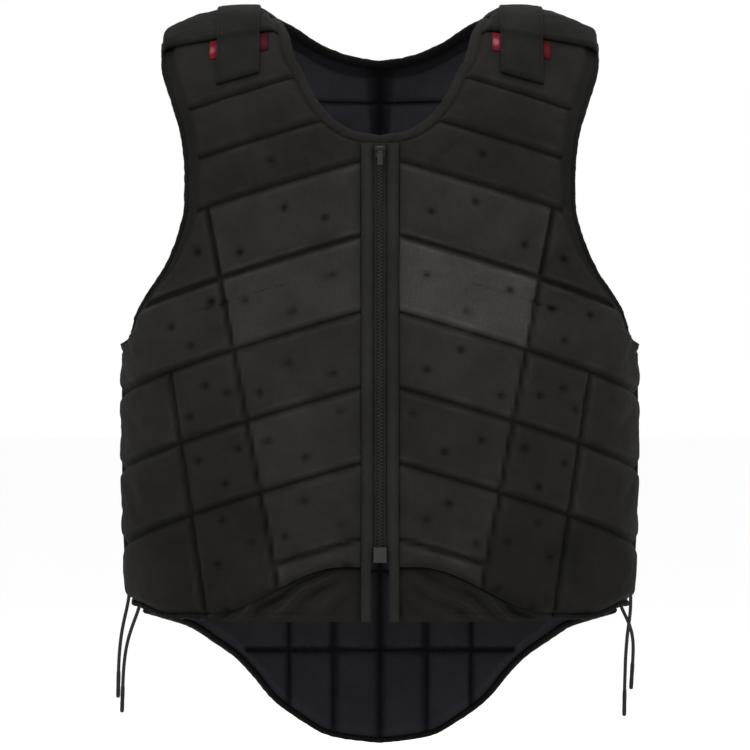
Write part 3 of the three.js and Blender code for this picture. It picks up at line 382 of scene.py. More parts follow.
def catmull(points, per_span):
    """The centripetal Catmull-Rom curve through points."""
    p = np.asarray(points, float)
    p = np.concatenate([[2 * p[0] - p[1]], p, [2 * p[-1] - p[-2]]])
    result = []
    for a, b, c, d in zip(p, p[1:], p[2:], p[3:]):
        pairs = (a, b), (b, c), (c, d)
        k = np.cumsum([0] + [max(np.linalg.norm(w - v), 1e-6) ** .5 for v, w in pairs])
        t = np.linspace(k[1], k[2], per_span, endpoint=False)[:, None]
        ab, bc, cd = (mix(v, w, (t - k[n]) / (k[n + 1] - k[n])) for n, (v, w) in enumerate(pairs))
        abc = mix(ab, bc, (t - k[0]) / (k[2] - k[0]))
        bcd = mix(bc, cd, (t - k[1]) / (k[3] - k[1]))
        result.append(mix(abc, bcd, (t - k[1]) / (k[2] - k[1])))
    return np.concatenate(result + [p[-2:-1]])


def stitches(name, lines, slot, side, pitch=3.6, length=2.5, radius=.32):
    """Rows of sewn thread. Each line is (points, normals) and each stitch a short tube of four rings."""
    sides = 6
    verts, faces = [], []
    turn = circle(sides)[:, None]
    lift = np.array([-.25, .18, .18, -.25])[:, None] * radius * 2
    thick = np.array([.55, 1, 1, .55])[:, None, None] * radius
    for points, normals in lines:
        both = resample(np.concatenate([mirror(points, side), mirror(normals, side) * 50], 1), pitch=.6)
        line, normal = both[:, :3], unit(both[:, 3:])
        at = length_along(line)
        for middle in np.arange(pitch / 2, at[-1] - length / 2, pitch):
            spot = middle + length * np.array([-.5, -.25, .25, .5])
            p = np.stack([np.interp(spot, at, column) for column in line.T], 1)
            n = unit(np.stack([np.interp(spot, at, column) for column in normal.T], 1))
            across = unit(np.cross(n, p[-1] - p[0]))
            round_thread = across[:, None] * np.cos(turn) + n[:, None] * np.sin(turn)
            faces += tube_faces(4, sides, len(verts) * 4 * sides)
            verts.append((p + n * lift)[:, None] + thick * round_thread)
    return place(add_mesh(name, np.concatenate(verts), faces, [sewing_thread]), slot)


def mirror(points, side):
    return points * np.array([side, 1, 1])


def lifted(point, normal, by):
    return point + normal * np.asarray(by, float)[..., None]


def circle(count):
    return np.linspace(0, 2 * math.pi, count, endpoint=False)


def place(obj, slot, *nodes):
    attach(obj, VEST)
    if nodes:
        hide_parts(*nodes)
    return obj


# Materials
def linear(hex_colour):
    parts = [int(hex_colour[n:n + 2], 16) / 255 for n in (1, 3, 5)]
    return tuple(c / 12.92 if c <= .04045 else ((c + .055) / 1.055) ** 2.4 for c in parts) + (1,)


class Nodes:
    """A material's node tree. A key of inputs is a node's attribute or, with spaces, one of its sockets."""

    def __init__(self, name):
        self.material = bpy.data.materials.new(name)
        self.material.use_nodes = True
        self.tree = self.material.node_tree
        self.shader = self.tree.nodes["Principled BSDF"]
        self.spot = self.add("ShaderNodeTexCoord").outputs["Object"]

    def add(self, kind, **inputs):
        node = self.tree.nodes.new(kind)
        for key, value in inputs.items():
            if hasattr(node, key):
                setattr(node, key, value)
            else:
                self.link(value, node.inputs[key.replace("_", " ")])
        return node

    def link(self, value, socket):
        if isinstance(value, bpy.types.NodeSocket):
            self.tree.links.new(value, socket)
        else:
            socket.default_value = value

    def linked(self, kind, output, values, **inputs):
        """Adds a node and links its numbered sockets."""
        node = self.add(kind, **inputs)
        for number, value in values.items():
            self.link(value, node.inputs[number])
        return node.outputs[output]

    def math(self, operation, a, b):
        return self.linked("ShaderNodeMath", 0, {0: a, 1: b}, operation=operation)

    def mix(self, share, a, b, blend="MIX"):
        return self.linked("ShaderNodeMix", 2, {0: share, 6: a, 7: b}, data_type="RGBA", blend_type=blend)

    def span(self, *values):
        """Maps a value from (low, high) to (to_low, to_high)."""
        return self.linked("ShaderNodeMapRange", 0, dict(enumerate(values)))

    def noise(self, **inputs):
        return self.add("ShaderNodeTexNoise", Vector=self.spot, **inputs).outputs["Fac"]

    def bump(self, **inputs):
        return self.add("ShaderNodeBump", **inputs).outputs[0]

    def surface(self, **inputs):
        for key, value in inputs.items():
            self.link(value, self.shader.inputs[key.replace("_", " ")])
        return self.material


def fabric(name, colour, thread=1.1, weave=.35, variety=.16, twill=False, shade_colour=None, faded=None):
    """Woven cloth: crossing threads on the cloth's own coordinates, with worn and faded patches."""
    lint_share, rough, smooth_spots = .15, .95, .78
    n = Nodes(name)
    uv = n.add("ShaderNodeUVMap", uv_map="cloth").outputs[0]
    one_a_millimetre = 314.0
    wave = lambda bands: n.add("ShaderNodeTexWave", bands_direction=bands, Vector=uv, Distortion=.6,
                               Detail=1.0, Scale=one_a_millimetre / thread).outputs["Fac"]
    cells = n.math("MULTIPLY", wave("DIAGONAL" if twill else "X"), wave("Y"))
    patches = n.noise(Scale=22.0, Detail=5.0, Roughness=.62)
    lint = n.noise(Scale=900.0, Detail=3.0, Roughness=.7)
    # The tone attribute carries the meshes' painted light and shade along with their own tones.
    tone = n.add("ShaderNodeAttribute", attribute_name="tone").outputs["Fac"]
    shade = n.math("MULTIPLY", n.span(patches, .3, .7, 1 - variety, 1 + variety), tone)
    shade = n.math("MULTIPLY", shade, n.span(cells, 0, 1, 1 - weave, 1 + weave))
    shade = n.math("MULTIPLY", shade, n.span(lint, .35, .75, 1 - lint_share, 1 + 2 * lint_share))
    grey = n.add("ShaderNodeCombineColor", Red=shade, Green=shade, Blue=shade).outputs[0]
    tint = linear(colour)
    # Painted shade: where the tone is low the colour shifts to the shade colour.
    if shade_colour:
        tint = n.mix(n.span(tone, .45, 1.0, 0, 1), linear(shade_colour), tint)
    if faded:
        tint = n.mix(n.span(tone, 1.1, 2.0, 0, 1), tint, linear(faded))
    height = n.math("ADD", n.math("MULTIPLY", cells, .7), n.math("MULTIPLY", lint, .6))
    threads = n.bump(Height=height, Strength=.55, Distance=.00035)
    creases = n.bump(Height=n.noise(Scale=130.0, Detail=3.0), Strength=.35, Distance=.0009, Normal=threads)
    return n.surface(Base_Color=n.mix(1.0, tint, grey, "MULTIPLY"), Specular_IOR_Level=.07, Normal=creases,
                     Roughness=n.span(patches, .3, .7, rough, smooth_spots))


def hard(name, colour, metallic, rough):
    """Painted metal or moulded plastic with faint scuffs and worn spots."""
    lighter = 1.6
    n = Nodes(name)
    wear = n.noise(Scale=160.0, Detail=6.0, Roughness=.7)
    fine = n.noise(Scale=1400.0, Detail=2.0)
    bright = tuple(min(1, c * lighter) for c in linear(colour)[:3]) + (1,)
    return n.surface(Base_Color=n.mix(n.span(wear, .5, .72, 0, 1), linear(colour), bright), Metallic=metallic,
                     Roughness=n.span(wear, .3, .75, rough + .12, rough - .08), Specular_IOR_Level=.2,
                     Normal=n.bump(Height=fine, Strength=.25, Distance=.0001))


pad_cloth = fabric("pad_cloth", "#21201e", shade_colour="#1f1e1a")
lining_cloth = fabric("lining_cloth", "#25252a", thread=1.4, variety=.1)
yoke_cloth = fabric("yoke_cloth", "#171714", thread=.9)
tape_cloth = fabric("tape_cloth", "#0e0e0d", thread=1.6, twill=True)
zip_cloth = fabric("zip_cloth", "#1c1c1a", thread=.8)
elastic_cloth = fabric("elastic_cloth", "#131312", thread=2.2, weave=.5)
lace_cord = fabric("lace_cord", "#2e2e2d", thread=1.5, weave=.6, twill=True)
marker_cloth = fabric("marker_cloth", "#500c18", thread=1.0, weave=.2, faded="#70514c")
sewing_thread = fabric("sewing_thread", "#262523", thread=.4, variety=.1)
zip_teeth = hard("zip_teeth", "#10100f", 0.0, .7)
dark_metal = hard("dark_metal", "#161616", .25, .55)
box_metal = hard("box_metal", "#222220", .2, .6)
tip_plastic = hard("tip_plastic", "#0c0c0b", 0.0, .5)


# Camera, floor and light
def add_camera():
    distance, view_width = 10.0, .6469
    data = bpy.data.cameras.new("photo_camera")
    data.sensor_width = 36
    data.lens = 36 * distance / view_width
    camera = bpy.data.objects.new("photo_camera", data)
    camera.location = (-.0043, -distance, -.2991)
    camera.rotation_euler = (math.radians(90), 0, 0)
    scene.collection.objects.link(camera)
    scene.camera = camera


def add_cords():
    """The four free lace ends, each with its moulded tip."""
    for name, route in LACE_ROUTES.items():
        points = catmull(route, 6)
        ply = tube(f"lace_{name}", points, (1.5, 1.5), [lace_cord], sides=14)
        along = unit(route[-1] - route[-2])
        tip_spots = route[-1] + along * np.array([-1.6, -1.3, 1.2, 5, 10, 15.5, 19.5, 20.8, 21.3])[:, None]
        width = np.array([1.55, 1.7, 1.8, 1.85, 1.75, 1.85, 1.8, 1.5, .8])
        tip = tube(f"tip_{name}", tip_spots, np.stack([width, width], 1), [tip_plastic], sides=16)
        place(ply, "lace", f"lace_end_{name}")
        place(tip, "lace_tip", f"lace_tip_{name}")


LACE_ROUTES = {
    "right_front": [
        (216.3, 3.3, -486.2), (216.3, 3.2, -492.3), (216.2, 3.0, -498.4), (215.8, 2.7, -504.5),
        (215.1, 2.4, -510.6), (214.3, 2.1, -516.7), (213.5, 1.8, -522.8), (212.9, 1.5, -528.9),
        (212.4, 1.3, -535.1), (212.0, 1.1, -541.3), (211.7, 0.9, -547.5), (211.5, 0.8, -553.7),
        (211.3, 0.7, -559.9), (211.1, 0.6, -566.1), (211.0, 0.5, -572.0)],
    "right_back": [
        (206.4, 45.9, -486.2), (206.9, 45.6, -490.9), (207.8, 45.0, -495.5), (209.2, 44.2, -500.0),
        (211.0, 43.2, -504.3), (213.0, 42.1, -508.4), (214.9, 41.0, -512.6), (216.5, 40.0, -517.0),
        (217.8, 39.2, -521.5), (218.6, 38.5, -526.1), (219.1, 38.0, -530.8), (219.2, 37.6, -535.5),
        (219.1, 37.3, -540.3), (218.9, 37.1, -545.1), (218.6, 37.0, -549.9)],
    "left_front": [
        (-216.3, 3.3, -486.2), (-216.8, 3.2, -491.2), (-217.6, 3.0, -496.2), (-218.6, 2.7, -501.1),
        (-219.7, 2.4, -506.0), (-220.8, 2.1, -510.9), (-221.8, 1.8, -515.8), (-222.7, 1.5, -520.8),
        (-223.4, 1.3, -525.8), (-224.0, 1.1, -530.8), (-224.5, 0.9, -535.8), (-224.9, 0.8, -540.9),
        (-225.2, 0.7, -546.0), (-225.4, 0.6, -551.1), (-225.5, 0.5, -556.2)],
    "left_back": [
        (-206.4, 45.9, -486.2), (-207.0, 45.7, -492.3), (-208.2, 45.3, -498.3), (-210.0, 44.7, -504.2),
        (-212.1, 44.0, -510.0), (-214.2, 43.2, -515.8), (-216.2, 42.4, -521.6), (-217.9, 41.7, -527.5),
        (-219.3, 41.1, -533.5), (-220.4, 40.6, -539.6), (-221.2, 40.2, -545.7), (-221.8, 39.9, -551.8),
        (-222.2, 39.7, -557.9), (-222.5, 39.6, -564.0), (-222.7, 39.5, -570.1)],
}
LACE_ROUTES = {name: np.array(route) for name, route in LACE_ROUTES.items()}

add_camera()
add_cords()


def add_studio():
    n = Nodes("floor_paint")
    paint = n.mix(n.noise(Scale=8.0, Detail=4.0), (.97, .97, .97, 1), (.99, .99, .99, 1))
    n.surface(Base_Color=paint, Roughness=.95, Specular_IOR_Level=.1)
    reach = np.linspace(-60000, 60000, 13)
    x, y = np.meshgrid(reach, reach)
    add_mesh("studio_floor", np.stack([x, y, 0 * x + FLOOR], -1), grid_faces(13, 13), [n.material])
    world = bpy.data.worlds.new("studio")
    world.use_nodes = True
    background = world.node_tree.nodes["Background"]
    background.inputs[0].default_value = (1, 1, 1, 1)
    background.inputs[1].default_value = 1.0
    scene.world = world
    scene.view_settings.view_transform = "Standard"
    for name, spot, size, power in (
            ("key_light", (-1.6, -2.6, 1.9), 1.6, 60), ("fill_light", (2.2, -2.4, .9), 1.8, 36),
            ("top_light", (.1, -.3, 2.4), 1.4, 28), ("back_light", (0, 1.3, 2.0), 1.4, 10)):
        data = bpy.data.lights.new(name, "AREA")
        data.shape, data.size, data.energy = "DISK", size, power
        light = bpy.data.objects.new(name, data)
        light.location = spot
        light.rotation_euler = (Vector((0, 0, -.3)) - Vector(spot)).to_track_quat("-Z", "Y").to_euler()
        scene.collection.objects.link(light)


add_studio()


# Padded panels
class Panel:
    """A panel's surface on a grid: s runs up from key row to key row, u across from the centre."""

    def __init__(self, face, s, u):
        self.face, self.s = face, s
        if face > 0:
            level, limit, least = front_level, FRONT_SIDE, PLACKET
            table, neck, drop = FRONT_ARMHOLE, FRONT_NECK, FRONT_NECK_DROP
        else:
            level, limit, least = back_level, BACK_SIDE, 0
            table, neck, drop = BACK_ARMHOLE, BACK_NECK, BACK_NECK_DROP
        neck_line = lambda h: angle_at(np.maximum(least, neck_out(neck, drop, h)), np.minimum(h, CHEST))
        self.start = meet(level, neck_line, limit, s)
        if face < 0:
            self.start = np.where(self.start < .004, 0, self.start)
        self.end = meet(level, lambda h: armhole_angle(table, h), limit, s)
        self.angle = mix(self.start[:, None], self.end[:, None], u[None])
        self.level = level(s[:, None], self.angle)
        self.point = cloth(face, self.angle, self.level)
        self.normal = cloth_normal(face, self.angle, self.level)
        self.run = run_at(face, self.angle, self.level)
        self.x = out_at(self.angle, self.level)
        self.height = height_at(self.angle, self.level)
        self.to_arm = (self.end[:, None] - self.angle) * self.run
        self.to_start = (self.angle - self.start[:, None]) * self.run
        up = lengths_up(self.point)
        self.to_bottom, self.to_top = up, up[-1:] - up
        self.inner_line = INNER_LINE + .19 * (self.height - CHEST)
        self.outer_line = OUTER_LINE + .15 * (self.height - CHEST)

    def line_distance(self, out):
        line = angle_at(out, np.minimum(self.height, CHEST))
        return np.abs(self.angle - line) * self.run

    def chevron_distance(self, drop):
        return np.abs(self.level - chevron(drop, self.angle)) / math.hypot(1, CHEVRON_SLOPE)

    def grooves(self):
        """Distance to the nearest sewn channel."""
        if self.face > 0:
            rows = [self.chevron_distance(drop) for drop in CHEVRON_DROPS]
            for top, line in ((4, self.inner_line), (2, self.outer_line)):
                below = self.level < chevron(CHEVRON_DROPS[top], self.angle) + 1
                rows.append(np.where(below, self.line_distance(line), FAR))
            low = self.chevron_distance(CHEVRON_TOP + 5 * CHEVRON_PITCH)
            rows.append(np.where((self.x < self.inner_line) & (self.to_bottom > 3), low, FAR))
        else:
            rows = [np.abs(self.level - level_at(-drop + 0 * self.x, self.x)) for drop in BACK_ROWS[:7]]
            inside = tail_edge(out_at(self.angle, HEM)) + 5 < -BACK_ROWS[7]
            rows.append(np.where(inside, np.abs(self.level + BACK_ROWS[7]), FAR))
            for n, top in enumerate((BACK_NECK_LOW, -BACK_ROWS[1], -BACK_ROWS[1])):
                rows.append(np.where(self.height < top, np.abs(self.x - n * BACK_PITCH), FAR))
        return np.min(rows, 0) + np.where(self.to_arm > BORDER, 0, FAR)


PUFF = dict(quality=4, mass=.25, tension_stiffness=12, compression_stiffness=12, shear_stiffness=6,
            bending_stiffness=.35, use_pressure=True, uniform_pressure_force=4, vertex_group_mass="sewn",
            shrink_min=-.035)


def puff(coarse, groove, seed):
    """Blows the blocks up between their sewn channels as cloth, and returns how far each point rises."""
    cap, frames = 3.2, 20
    outer = coarse.point
    inner = lifted(coarse.point, coarse.normal, EDGE_TAPER - thickness_at(coarse.level))
    obj = shell(f"blown_{seed}", outer, inner, [pad_cloth])
    spots = np.array([v.co for v in obj.data.vertices]) / MM
    border = np.min([coarse.to_arm - BORDER, coarse.to_start, coarse.to_bottom, coarse.to_top], 0)
    hold = (np.minimum(groove, border) < 3.4).ravel()
    order = np.array([np.argmin(((spots - p) ** 2).sum(1)) for p in outer.reshape(-1, 3)])
    free = set(order[~hold].tolist())
    held = [n for n in range(len(spots)) if n not in free]
    obj.vertex_groups.new(name="sewn").add(held, 1.0, "REPLACE")
    bpy.context.view_layer.objects.active = obj
    modifier = obj.modifiers.new("blown", "CLOTH")
    for key, value in PUFF.items():
        setattr(modifier.settings, key, value)
    modifier.settings.effector_weights.gravity = 0
    modifier.collision_settings.use_collision = False
    for number in range(1, frames + 1):
        scene.frame_set(number)
    blown = obj.evaluated_get(bpy.context.evaluated_depsgraph_get()).to_mesh()
    moved = np.array([v.co for v in blown.vertices]) / MM
    scene.frame_set(1)
    bpy.data.objects.remove(obj)
    shift = ((moved[order] - outer.reshape(-1, 3)) * coarse.normal.reshape(-1, 3)).sum(1)
    return np.clip(shift.reshape(coarse.x.shape), -cap, cap)


def upsample(values, coarse, panel):
    """Reads a coarse panel's values at the fine panel's own angles."""
    first = np.clip(np.searchsorted(coarse.s, panel.s, side="right") - 1, 0, len(coarse.s) - 2)
    share = (panel.s - coarse.s[first]) / (coarse.s[first + 1] - coarse.s[first])
    rows = []
    for angle, n, t in zip(panel.angle, first, share):
        low, high = (np.interp(angle, coarse.angle[m], values[m]) for m in (n, n + 1))
        rows.append(mix(low, high, t))
    return np.array(rows)


FRONT_DIMPLES = [(.18, .32), (.78, .36), (.48, .70)]


def front_dimples(panel, side):
    """Soft round dents, three to a block, in a zigzag that changes from row to row."""
    dent, block = 3.1, 62
    rng = np.random.default_rng(31 if side > 0 else 47)
    total = np.zeros(panel.x.shape)
    drops = [CHEVRON_TOP + n * CHEVRON_PITCH for n in range(-1, 7)]
    inner_line = panel.inner_line
    fall = chevron_fall(panel.angle)
    for n, (low, high) in enumerate(zip(drops, drops[1:])):
        for first, last in ((PLACKET, inner_line), (inner_line, inner_line + block)):
            for share, down in FRONT_DIMPLES:
                if n % 2:
                    share, down = 1 - share, 1 - down
                share += rng.uniform(-.07, .07)
                down += rng.uniform(-.1, .1)
                x = mix(first, last, share)
                z = -mix(low, high, down) - fall
                square = (panel.x - x) ** 2 + (panel.height - z) ** 2
                total = np.maximum(total, np.exp(-square / dent ** 2))
    keep = smooth(3, 8, panel.grooves()) * smooth(BORDER + 2, BORDER + 6, panel.to_arm)
    return total * keep * (panel.height < -85)


def dressed(panel, side, groove, rise, seed):
    """Points of a panel's outer and inner side, and their tones."""
    front, back = panel.face > 0, panel.face < 0
    channel_shade, dent_depth, dent_shade, edge_round = .72, 2.4, .8, 4.5
    seen = mirror(panel.point, side)
    broad, fine = Waves(seed, 46), Waves(seed + 1, 13)
    border = smooth(BORDER - 3, BORDER + 7, panel.to_arm)
    to_neck = panel.to_start
    if back:
        down = np.linspace(1, 0, 200)
        brim = np.interp(panel.x, NECK_HALF * read(BACK_NECK, down), SHOULDER_PAD - BACK_NECK_DROP * down)
        below = np.maximum(0, level_at(brim, panel.x) - panel.level)
        to_neck = np.minimum(below, np.where(panel.start[:, None] == 0, FAR, to_neck))
    rim = np.minimum(np.minimum(to_neck, panel.to_top), panel.to_bottom)
    turned = smooth(math.radians(74), math.radians(86), panel.angle) * front
    under_yoke = 1 - smooth(-64, -34, panel.height) * front - smooth(-30, -18, panel.height) * back

    crown = rise * smooth(0, 9, np.minimum(groove, panel.to_arm - BORDER)) * smooth(0, 8, rim) * under_yoke
    channel = GROOVE * bell(groove, 2.3) * (1 - .6 * turned)
    depth = np.maximum(channel, EDGE_DEPTH * (1 - smooth(0, edge_round, rim)))
    border_depth = mix(EDGE_DEPTH, BORDER_DEPTH, np.clip(panel.to_arm / BORDER, 0, 1))
    depth = np.maximum(depth, (1 - border) * border_depth)
    wrinkle = (.38 * broad(seen) + .16 * fine(seen)) * mix(.3, 1, under_yoke)
    offset = -depth + crown * border - 1.4 * np.exp(-np.minimum(groove, rim) / 6) * border * (depth < 4)
    offset = offset + wrinkle * smooth(0, 6, rim) * (.4 + .6 * border)
    # Painted shade: the tone darkens in the channels, in the sunken border by the armhole and where the side
    # turns away.
    tone = (1 - channel_shade * bell(groove, 2)) * mix(.7, 1, border) * (1 - .6 * turned)
    # Painted highlight: a lighter band along the rounded edge beside each channel.
    lighter = bell(groove - 4.6, 1.8) * smooth(BORDER + 2, BORDER + 8, panel.to_arm)
    tone = tone * (1 + .3 * lighter * (1 + .6 * broad(seen)))

    to_rim = np.minimum(rim, panel.to_arm)
    lining = LINING_GROOVE * bell(groove, 3.2) * back
    inner_offset = -thickness_at(panel.level) + np.maximum(lining, EDGE_TAPER * (1 - smooth(0, 9, to_rim)))
    inner_offset = inner_offset - .6 * smooth(0, 14, groove) * back + .25 * broad(seen + 60)
    # Painted shade in the lining's channels, with a painted highlight beside each.
    inner_tone = 1 - .92 * bell(groove, 3, 4) + .22 * bell(groove - 7, 3)
    if front:
        dents = front_dimples(panel, side)
        offset = offset - dent_depth * dents
        tone = tone * (1 - dent_shade * dents) * block_tones(panel, side)
    else:
        # Painted shade in the spine channel, painted light growing towards the neck opening, and painted
        # shade under the neck binding.
        spine = 3.2 + 2.8 * smooth(-170, -110, panel.height)
        inner_tone = np.minimum(inner_tone, 1 - .9 * bell(panel.x, spine, 6))
        inner_tone = inner_tone * mix(.8, 1.55, smooth(-320, -110, panel.height))
        inner_tone = inner_tone * mix(.2, 1, smooth(8, 14, to_neck))
    outer, inner = (mirror(lifted(panel.point, panel.normal, by), side) for by in (offset, inner_offset))
    return outer, inner, tone, inner_tone


def block_tones(panel, side):
    """Painted light and shade block by block over a random tone: each block takes the light a little
    differently, and one on the right is plainly paler, a painted reflection.
    """
    rng = np.random.default_rng(12 if side > 0 else 19)
    down = (-panel.height - chevron_fall(panel.angle) - CHEVRON_TOP) / CHEVRON_PITCH
    row = np.clip(np.floor(down), -2, 6).astype(int) + 2
    column = (panel.x > panel.inner_line).astype(int) * (down > 0)
    table = rng.uniform(.9, 1.12, (9, 2))
    # Painted light and shade: the outer column and the top and lower rows darker, one row lighter.
    for rows, share in ((np.s_[:, 1], .72), (np.s_[:2], .66), (3, 1.15), (4, .88), (np.s_[5:], .84),
                        (np.s_[6:, 1], .8)):
        table[rows] *= share
    # Painted reflection: one block on the right made plainly paler.
    if side > 0:
        table[3, 0] = 1.9
    return table[row, column]


def finer_rows(s, degrees):
    """Adds rows where the front panel's side edge runs quickly inwards below the armhole."""
    line = lambda h: armhole_angle(FRONT_ARMHOLE, h)
    for _ in range(6):
        end = np.degrees(meet(front_level, line, FRONT_SIDE, s))
        wide = np.where(np.abs(np.diff(end)) > degrees)[0]
        s = np.unique(np.concatenate([s, (s[wide] + s[wide + 1]) / 2]))
    return s


def key_rows(gaps, more):
    """Rows from key to key, so many to each gap, and a few more near the edges."""
    rows = [np.linspace(n, n + 1, count, endpoint=False) for n, count in enumerate(gaps)]
    return np.unique(np.concatenate(rows + [[len(gaps)], more]))


def blown_panel(face, s, u, coarse_s, columns, seed):
    coarse = Panel(face, coarse_s, np.linspace(0, 1, columns))
    rise = puff(coarse, coarse.grooves(), seed)
    panel = Panel(face, s, u)
    return panel, panel.grooves(), upsample(rise, coarse, panel)


def add_front(side, word):
    s = key_rows([26, 24, 24, 24, 24, 17, 17, 56], [.05 / 3, .1 / 3, 7.98, 7.99])
    close = np.array([0, .006, .014, .026])
    u = np.concatenate([close, np.linspace(.042, .958, 74), 1 - close[::-1]])
    panel, groove, rise = blown_panel(1, finer_rows(s, .8), u, finer_rows(np.linspace(0, 8, 92), 2.4), 34,
                                      3 if side > 0 else 4)
    outer, inner, *tones = dressed(panel, side, groove, rise, 100 + side)
    pad = shell(f"front_pad_{word}", outer, inner, [pad_cloth, lining_cloth], *tones)
    place(pad, "front_fabric", f"front_panel_{word}")
    return panel, outer, inner


def add_back():
    s = key_rows([40, 25, 25, 25, 25, 25, 25, 12, 70], 8 + np.array([.0006, .0015, .003, .005, .008, .011]))
    u = np.concatenate([np.linspace(0, .96, 78), [.974, .986, .994, 1]])
    panel, groove, rise = blown_panel(-1, s, u, np.linspace(0, 9, 100), 36, 5)
    closed = int((panel.start == 0).sum())
    halves = []
    for side in (1, -1):
        outer, inner, tone, inner_tone = dressed(panel, side, groove, rise, 205)
        if side < 0:
            outer[:closed, 0], inner[:closed, 0] = halves[0][0][:closed, 0], halves[0][1][:closed, 0]
        halves.append((outer, inner, tone, inner_tone))
    parts = [shell("back_half", *half[:2], [pad_cloth, lining_cloth], half[2] * .95, half[3], closed - 1)
             for half in halves]
    pad = join(parts, "back_pad")
    place(pad, "back_fabric", "back_panel")
    return panel, halves, closed


def join(parts, name):
    for chosen in list(bpy.context.selected_objects):
        chosen.select_set(False)
    for part in parts:
        part.select_set(True)
    bpy.context.view_layer.objects.active = parts[0]
    bpy.ops.object.join()
    parts[0].name = parts[0].data.name = name
    weld(parts[0].data, 2e-6)
    parts[0].select_set(False)
    return parts[0]


fronts = {side: add_front(side, word) for side, word in SIDES}
back_panel, back_halves, back_closed = add_back()


# Bindings round the edges
def binding(name, outer, inner, inward, node, seed, width=TAPE_WIDTH, material=tape_cloth, slot="binding",
            gather=.05, sides=14, pitch=2.2, soften=3, past=.8):
    """A folded tape over a panel's edge, from the edge's own points."""
    sink, thick = .42, .58
    rows = resample(np.concatenate([outer, inner, inward], 1), pitch=pitch)
    reach = np.minimum(np.minimum(np.arange(len(rows)), np.arange(len(rows))[::-1]), soften)
    rows = np.array([rows[n - r:n + r + 1].mean(0) for n, r in enumerate(reach)])
    outer, inner, inward = rows[:, :3], rows[:, 3:6], rows[:, 6:]
    edge = (outer + inner) / 2
    along = unit(np.gradient(edge, axis=0))
    across = unit(outer - inner)
    out = unit(np.cross(along, across))
    out = out * np.sign((out * (edge - inward)).sum())
    middle = edge + out * (CLEAR + sink * width)
    half = np.linalg.norm(outer - inner, axis=1) / 2 + .9
    noise, folds = Waves(seed, 9), Waves(seed + 1, 3.4)
    swell = lambda ring: gather * noise(ring) + .4 * gather * folds(ring)
    size = np.stack([np.full(len(half), thick * width), half], 1)
    size[[0, -1]] *= .8
    middle[0] -= along[0] * past
    middle[-1] += along[-1] * past
    place(tube(name, middle, size, [material], sides, (out, across), swell), slot, node)


def add_bindings():
    for side, word in SIDES:
        panel, outer, inner = fronts[side]
        half = back_halves[0 if side > 0 else 1]
        for end, part, grids, past, seed in (("front", panel, (outer, inner), 4, 300),
                                             ("back", back_panel, half[:2], 2, 310)):
            rows = np.where(part.level[:, -1] > SIDE_TOP - past)[0]
            edges = [grid[rows, -1] for grid in grids] + [grids[0][rows, -6]]
            binding(f"armhole_edge_{end}_{word}", *edges, f"armhole_binding_{end}_{word}", seed + side)
        columns = np.where(np.abs(outer[0, :, 0]) > SKIRT_HALF - 2)[0]
        binding(f"corner_edge_{word}", outer[0, columns], inner[0, columns], outer[4, columns],
                f"corner_binding_{word}", 320 + side, gather=.16, pitch=1.4)
        add_neck_roll(side, word, panel, outer, inner)
    runs = []
    for half, order in ((back_halves[1], -1), (back_halves[0], 1)):
        index = np.arange(back_closed - 1, len(back_panel.start))[::order]
        below = (half[0][index, 5] + half[1][index, 5]) / 2 + np.array([0, 5.0, -6.0])
        runs.append((half[0][index, 0], half[1][index, 0], below))
    runs = [np.concatenate([a, b[1:]]) for a, b in zip(*runs)]
    binding("neck_edge_back", *runs, "neck_binding_back", 330, width=8, sides=18, soften=7, past=2.4)
    tails = [np.concatenate([back_halves[1][n][row][::-1], back_halves[0][n][row][1:]])
             for n, row in ((0, 0), (1, 0), (0, 4))]
    binding("tail_edge", *tails, "tail_binding", 340)


def spots(face, x, height, outer, inner=None):
    """Points at a distance out from the centre and a height, off the cloth by the offsets."""
    x, height = np.broadcast_arrays(np.asarray(x, float), np.asarray(height, float))
    angle = np.sign(x + 1e-9) * angle_at(x, np.minimum(height, CHEST))
    level = level_at(height, x)
    point, normal = cloth(face, angle, level), cloth_normal(face, angle, level)
    return [lifted(point, normal, d) for d in (outer, inner) if d is not None] + [normal]


NECK_FOOT = SHOULDER_PAD - FRONT_NECK_DROP - 1.5


def add_neck_roll(side, word, panel, outer, inner):
    """The rolled front neck edge, in the panel's own cloth."""
    foot_half, count = 26, 14
    rows = np.where(panel.x[:, 0] > foot_half)[0]
    foot_x = np.linspace(CLEAR, foot_half, count)
    down = np.linspace(1, .95, 200)
    foot_z = np.interp(foot_x, NECK_HALF * read(FRONT_NECK, down), SHOULDER_PAD - FRONT_NECK_DROP * down)
    low_o, low_i, _ = spots(1, foot_x, foot_z, np.full(count, -EDGE_DEPTH), np.full(count, EDGE_TAPER - PAD))
    under, _ = spots(1, foot_x, foot_z - 6, np.full(count, -EDGE_DEPTH))
    runs = [np.concatenate([mirror(low, side), grid[rows, column]])
            for low, grid, column in ((low_o, outer, 0), (low_i, inner, 0), (under, outer, 5))]
    binding(f"neck_roll_{word}", *runs, f"neck_binding_front_{word}", 350 + side, 9, roll_cloth,
            "front_fabric", gather=.035, sides=18, past=2.4)


roll_cloth = fabric("roll_cloth", "#181715", thread=1.0)
add_bindings()


